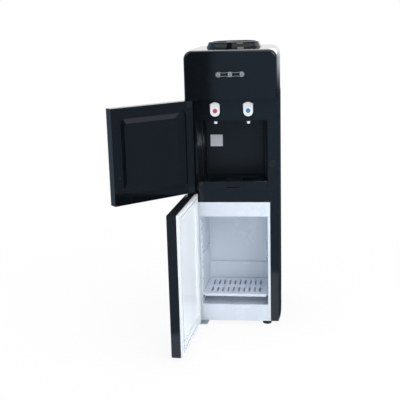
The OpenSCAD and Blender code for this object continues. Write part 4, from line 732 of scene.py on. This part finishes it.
# %% Foam
CELL_SCALE, CELL_DEPTH, PIT_HEIGHT = 480.0, 0.5, 0.0008
FOAM_ROUGHNESS = 0.85
foam, nodes, link, shader = finish("rigid_foam")
place = nodes.new("ShaderNodeTexCoord")
cells = nodes.new("ShaderNodeTexVoronoi")
cells.inputs["Scale"].default_value = CELL_SCALE
link(place.outputs["Object"], cells.inputs["Vector"])
tone = use(nodes, drift, Colour=(0.80, 0.70, 0.44, 1), Other=(0.70, 0.58, 0.33, 1), Scale=14.0)
link(tone.outputs["Colour"], shader.inputs["Base Color"])
pits = nodes.new("ShaderNodeBump")
pits.inputs["Strength"].default_value = CELL_DEPTH
pits.inputs["Distance"].default_value = PIT_HEIGHT
link(cells.outputs["Distance"], pits.inputs["Height"])
link(pits.outputs["Normal"], shader.inputs["Normal"])
shader.inputs["Roughness"].default_value = FOAM_ROUGHNESS
print("foam made")

# %% [markdown]
# The indicator lenses are tinted clear plastic over an unlit board. Full transmission at this size only
# adds noise, so the lens is a smoke-tinted gloss under a clear coat, and its tint drifts over a few
# millimetres.

# %% Lenses
LENS_COAT = 0.5
lens, nodes, link, shader = finish("smoked_lens")
tone = use(nodes, drift, Colour=(0.16, 0.18, 0.20, 1), Other=(0.24, 0.26, 0.29, 1), Scale=260.0)
link(tone.outputs["Colour"], shader.inputs["Base Color"])
marks = use(nodes, handling, Clean=0.06, Wiped=0.14, Scale=60.0)
link(marks.outputs["Roughness"], shader.inputs["Roughness"])
shader.inputs["Coat Weight"].default_value = LENS_COAT
print("lens made")

# %% [markdown]
# ## Dressing the CAD nodes
# Each node takes one finish. The table reads like the bill of materials of the real machine.

# %% Bill of finishes
WORN_BY = {
    gloss_black: ["front_frame", "head_shell", "bottle_collar", "drip_tray", "drip_cover",
                  "upper_door_shell", "lower_door_shell"],
    door_black: ["upper_door_panel"],
    satin_black: ["bottle_seat", "bay_liner", "hot_tap_body", "cold_tap_body", "door_catch",
                  "switch_housing", "drain_cap", "cord_gland"],
    paint_black: ["base_pan", "left_side_panel", "right_side_panel", "back_panel"],
    enamel_black: ["compressor", "condenser_coil", "condenser_wires"],
    liner_white: ["lower_door_liner", "tank_baffle", "drain_outlet", "hot_spout", "cold_spout"],
    cavity_liner_painted_shade: ["storage_liner"],
    shelf_grey: ["shelf"],
    lever_white: ["hot_lever", "cold_lever"],
    button_red: ["hot_button", "hot_switch"],
    cap_blue: ["cold_cap"],
    rocker_green: ["cold_switch"],
    nylon_cream: ["upper_door_bushes", "lower_door_bushes"],
    rubber_black: ["feet", "compressor_mounts"],
    rubber_grey: ["lower_door_gasket"],
    silicone: ["water_pipes"],
    board_green: ["indicator_board"],
    steel: ["lever_pins", "cold_tank", "hot_tank"],
    zinc: ["tank_shelf", "condenser_brackets"],
    dark_steel: ["door_strike", "top_hinge", "middle_hinge"],
    plated_grey: ["bottom_hinge"],
    bezel_silver: ["indicator_bezel"],
    copper: ["evaporator", "filter_drier", "refrigerant_pipes"],
    foam: ["storage_insulation", "lower_door_insulation", "tank_insulation"],
    lens: ["indicator_lenses"],
}
dressed = set()
for made, names in WORN_BY.items():
    for name in names:
        mesh = nodes_by_name[name].data
        mesh.materials.clear()
        mesh.materials.append(made)
        dressed.add(name)
missing = sorted(set(nodes_by_name) - dressed)
print("dressed", len(dressed), "nodes, left over:", missing)

# %% [markdown]
# ## Screws, plate and marks
# Screws sit on whatever surface carries them, so a ray finds that surface and its direction first. The head
# is a low dome with a cross recess, built ring by ring, because a modelled recess still reads from the
# side.


# %% Finding a surface
UPWARD = Vector((0, 0, 1))


def surface_at(node, start, direction):
    """The point and outward normal where a ray meets a CAD node."""
    mesh = nodes_by_name[node].data
    tree = BVHTree.FromPolygons([v.co for v in mesh.vertices], [tuple(p.vertices) for p in mesh.polygons])
    point, normal, _, _ = tree.ray_cast(Vector(start), Vector(direction))
    if point is None:
        raise ValueError(f"no surface of {node} from {start}")
    if normal.dot(Vector(direction)) > 0:
        normal = -normal
    return point, normal


def facing_frame(point, normal):
    """A matrix at a point of an upright face: its Z is the face's normal, and its Y points up."""
    z = normal.normalized()
    x = UPWARD.cross(z).normalized()
    y = z.cross(x)
    return Matrix.Translation(point) @ Matrix((x, y, z)).transposed().to_4x4()


print("surface helpers ready")


# %% Cross-head screws
HEAD_RINGS = (0.12, 0.26, 0.4, 0.54, 0.7, 0.86, 0.96, 1.0)
HEAD_SIDES = 32
HEAD_RISE = 0.42
HEAD_FALL = 0.92
RECESS_REACH, RECESS_HALF_WIDTH, RECESS_DEPTH = 0.6, 0.13, 0.62


def head_height(share, x, y):
    """Height of a screw's dome at a share of its radius, as a share of its rise."""
    height = math.sqrt(1 - share * share * HEAD_FALL)
    in_cross = abs(x) < RECESS_HALF_WIDTH or abs(y) < RECESS_HALF_WIDTH
    if share < RECESS_REACH and in_cross:
        height -= RECESS_DEPTH
    return height


def circle_points(sides, radius):
    """Points round a circle, in order."""
    turns = [2 * math.pi * i / sides for i in range(sides)]
    return [(radius * math.cos(a), radius * math.sin(a)) for a in turns]


def add_screw(bm, place, radius):
    """Adds one domed head with a cross recess, standing on the plane of place."""
    rise = radius * HEAD_RISE
    loops = []
    for share in HEAD_RINGS:
        spots = [(x, y, rise * head_height(share, x, y)) for x, y in circle_points(HEAD_SIDES, share)]
        loops.append([bm.verts.new(place @ Vector((x * radius, y * radius, z))) for x, y, z in spots])
    skirt = [bm.verts.new(place @ Vector((x, y, 0))) for x, y in circle_points(HEAD_SIDES, radius)]
    loops.append(skirt)
    middle = bm.verts.new(place @ Vector((0, 0, rise * (1 - RECESS_DEPTH))))
    for i in range(HEAD_SIDES):
        j = (i + 1) % HEAD_SIDES
        bm.faces.new((middle, loops[0][i], loops[0][j]))
        for inner, outer in zip(loops, loops[1:]):
            bm.faces.new((inner[i], outer[i], outer[j], inner[j]))
    bm.faces.new(list(reversed(skirt)))


def finish_piece(obj, body, made):
    """Shades a new piece, gives it its finish and hangs it on its body."""
    obj.data.materials.append(made)
    shade(obj)
    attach(obj, body)


def screws(name, node, body, spots, direction, radius, made):
    """Screws on one node: each spot is where a ray starts."""
    bm = bmesh.new()
    for spot in spots:
        point, normal = surface_at(node, spot, direction)
        add_screw(bm, facing_frame(point, normal), radius)
    finish_piece(make_object(name, bm), body, made)


FRONT, BACK = -0.5, 0.5
INWARD, FORWARD = (0, 1, 0), (0, -1, 0)
COLUMN_SCREW_R, BACK_SCREW_R = 0.0032, 0.0035
BACK_SCREW_X, BACK_SCREW_ROWS = 0.133, (0.22, 0.40, 0.58, 0.75)
column_spots = [(0.1297, FRONT, 0.4618), (0.1243, FRONT, 0.4295)]
screws("column_screws", "front_frame", "cabinet", column_spots, INWARD, COLUMN_SCREW_R,
       satin_black)
edge_spots = [(x, BACK, z) for x in (-BACK_SCREW_X, BACK_SCREW_X) for z in BACK_SCREW_ROWS]
screws("back_panel_screws", "back_panel", "cabinet", edge_spots, FORWARD, BACK_SCREW_R, zinc)
print("screws made")


# %% [markdown]
# The bay's back wall carries a plain plate. It is a thin sheet with rounded corners, left bare, and its
# outline is worked out corner by corner so that the sheet has a real edge.

# %% Bare plate
SEATED = 0.00002


def rounded_outline(width, height, radius, steps=6):
    """Points round a rectangle with rounded corners, in order."""
    points = []
    for cx, cy, first in ((1, 1, 0), (-1, 1, 90), (-1, -1, 180), (1, -1, 270)):
        for i in range(steps + 1):
            a = math.radians(first + 90 * i / steps)
            points.append((cx * (width / 2 - radius) + radius * math.cos(a),
                           cy * (height / 2 - radius) + radius * math.sin(a)))
    return points


def add_slab(bm, place, outline, bottom, top):
    """Adds a flat piece of one outline between two heights over the plane of place."""
    low = [bm.verts.new(place @ Vector((x, y, bottom))) for x, y in outline]
    high = [bm.verts.new(place @ Vector((x, y, top))) for x, y in outline]
    bm.faces.new(list(reversed(low)))
    bm.faces.new(high)
    for i in range(len(low)):
        j = (i + 1) % len(low)
        bm.faces.new((low[i], low[j], high[j], high[i]))


def sheet_plate(name, node, start, direction, size, radius, thickness, body, made):
    """A thin plate with rounded corners, lying on a node."""
    point, normal = surface_at(node, start, direction)
    bm = bmesh.new()
    add_slab(bm, facing_frame(point, normal), rounded_outline(*size, radius), SEATED, thickness)
    finish_piece(make_object(name, bm), body, made)


BAY_AIR_Y = -0.1
PLATE_X, PLATE_Z = -0.063, 0.619
PLATE_SIZE, PLATE_CORNER, PLATE_THICKNESS = (0.042, 0.040), 0.002, 0.0003
sticker = plastic("plain_sticker", (0.80, 0.82, 0.84), (0.74, 0.76, 0.79),
                  clean=0.35, wiped=0.5, ripple=500, depth=0.05, dusty=0.0, level=0.4)
sheet_plate("bay_plate", "bay_liner", (PLATE_X, BAY_AIR_Y, PLATE_Z), INWARD, PLATE_SIZE, PLATE_CORNER,
            PLATE_THICKNESS, "cabinet", sticker)
print("plate made")


# %% [markdown]
# Each rocker switch has a generic mark for on and off: a bar and a ring, raised a hair from the rocker's
# faces.

# %% Rocker marks
SWITCH_Z, MARK_RISE = 0.640, 0.0045
SWITCH_X = {"hot": -0.0099, "cold": 0.0099}
MARK_HEIGHT = 0.0002
MARK_GAP = 0.00005
RING_RADIUS, RING_WIDTH, RING_SIDES = 0.0021, 0.0006, 28
BAR_WIDTH, BAR_LENGTH, BAR_ROUNDING = 0.0007, 0.0042, 0.49


def ring_mark(bm, place):
    """A raised ring."""
    inner = RING_RADIUS - RING_WIDTH
    rows = []
    for radius, z in ((RING_RADIUS, 0), (RING_RADIUS, MARK_HEIGHT), (inner, MARK_HEIGHT), (inner, 0)):
        spots = circle_points(RING_SIDES, radius)
        rows.append([bm.verts.new(place @ Vector((x, y, z))) for x, y in spots])
    for i in range(RING_SIDES):
        j = (i + 1) % RING_SIDES
        for this, following in zip(rows, rows[1:] + rows[:1]):
            bm.faces.new((this[i], this[j], following[j], following[i]))
    bmesh.ops.recalc_face_normals(bm, faces=bm.faces)


def bar_mark(bm, place):
    """A raised bar with rounded ends."""
    outline = rounded_outline(BAR_WIDTH, BAR_LENGTH, BAR_WIDTH * BAR_ROUNDING, 4)
    add_slab(bm, place, outline, 0, MARK_HEIGHT)


for side, x in SWITCH_X.items():
    bm = bmesh.new()
    for rise, mark in ((MARK_RISE, bar_mark), (-MARK_RISE, ring_mark)):
        point, normal = surface_at(side + "_switch", (x, BACK, SWITCH_Z + rise), FORWARD)
        mark(bm, facing_frame(point + normal * MARK_GAP, normal))
    finish_piece(make_object(side + "_switch_marks", bm), side + "_rocker", lever_white)
print("rocker marks made")
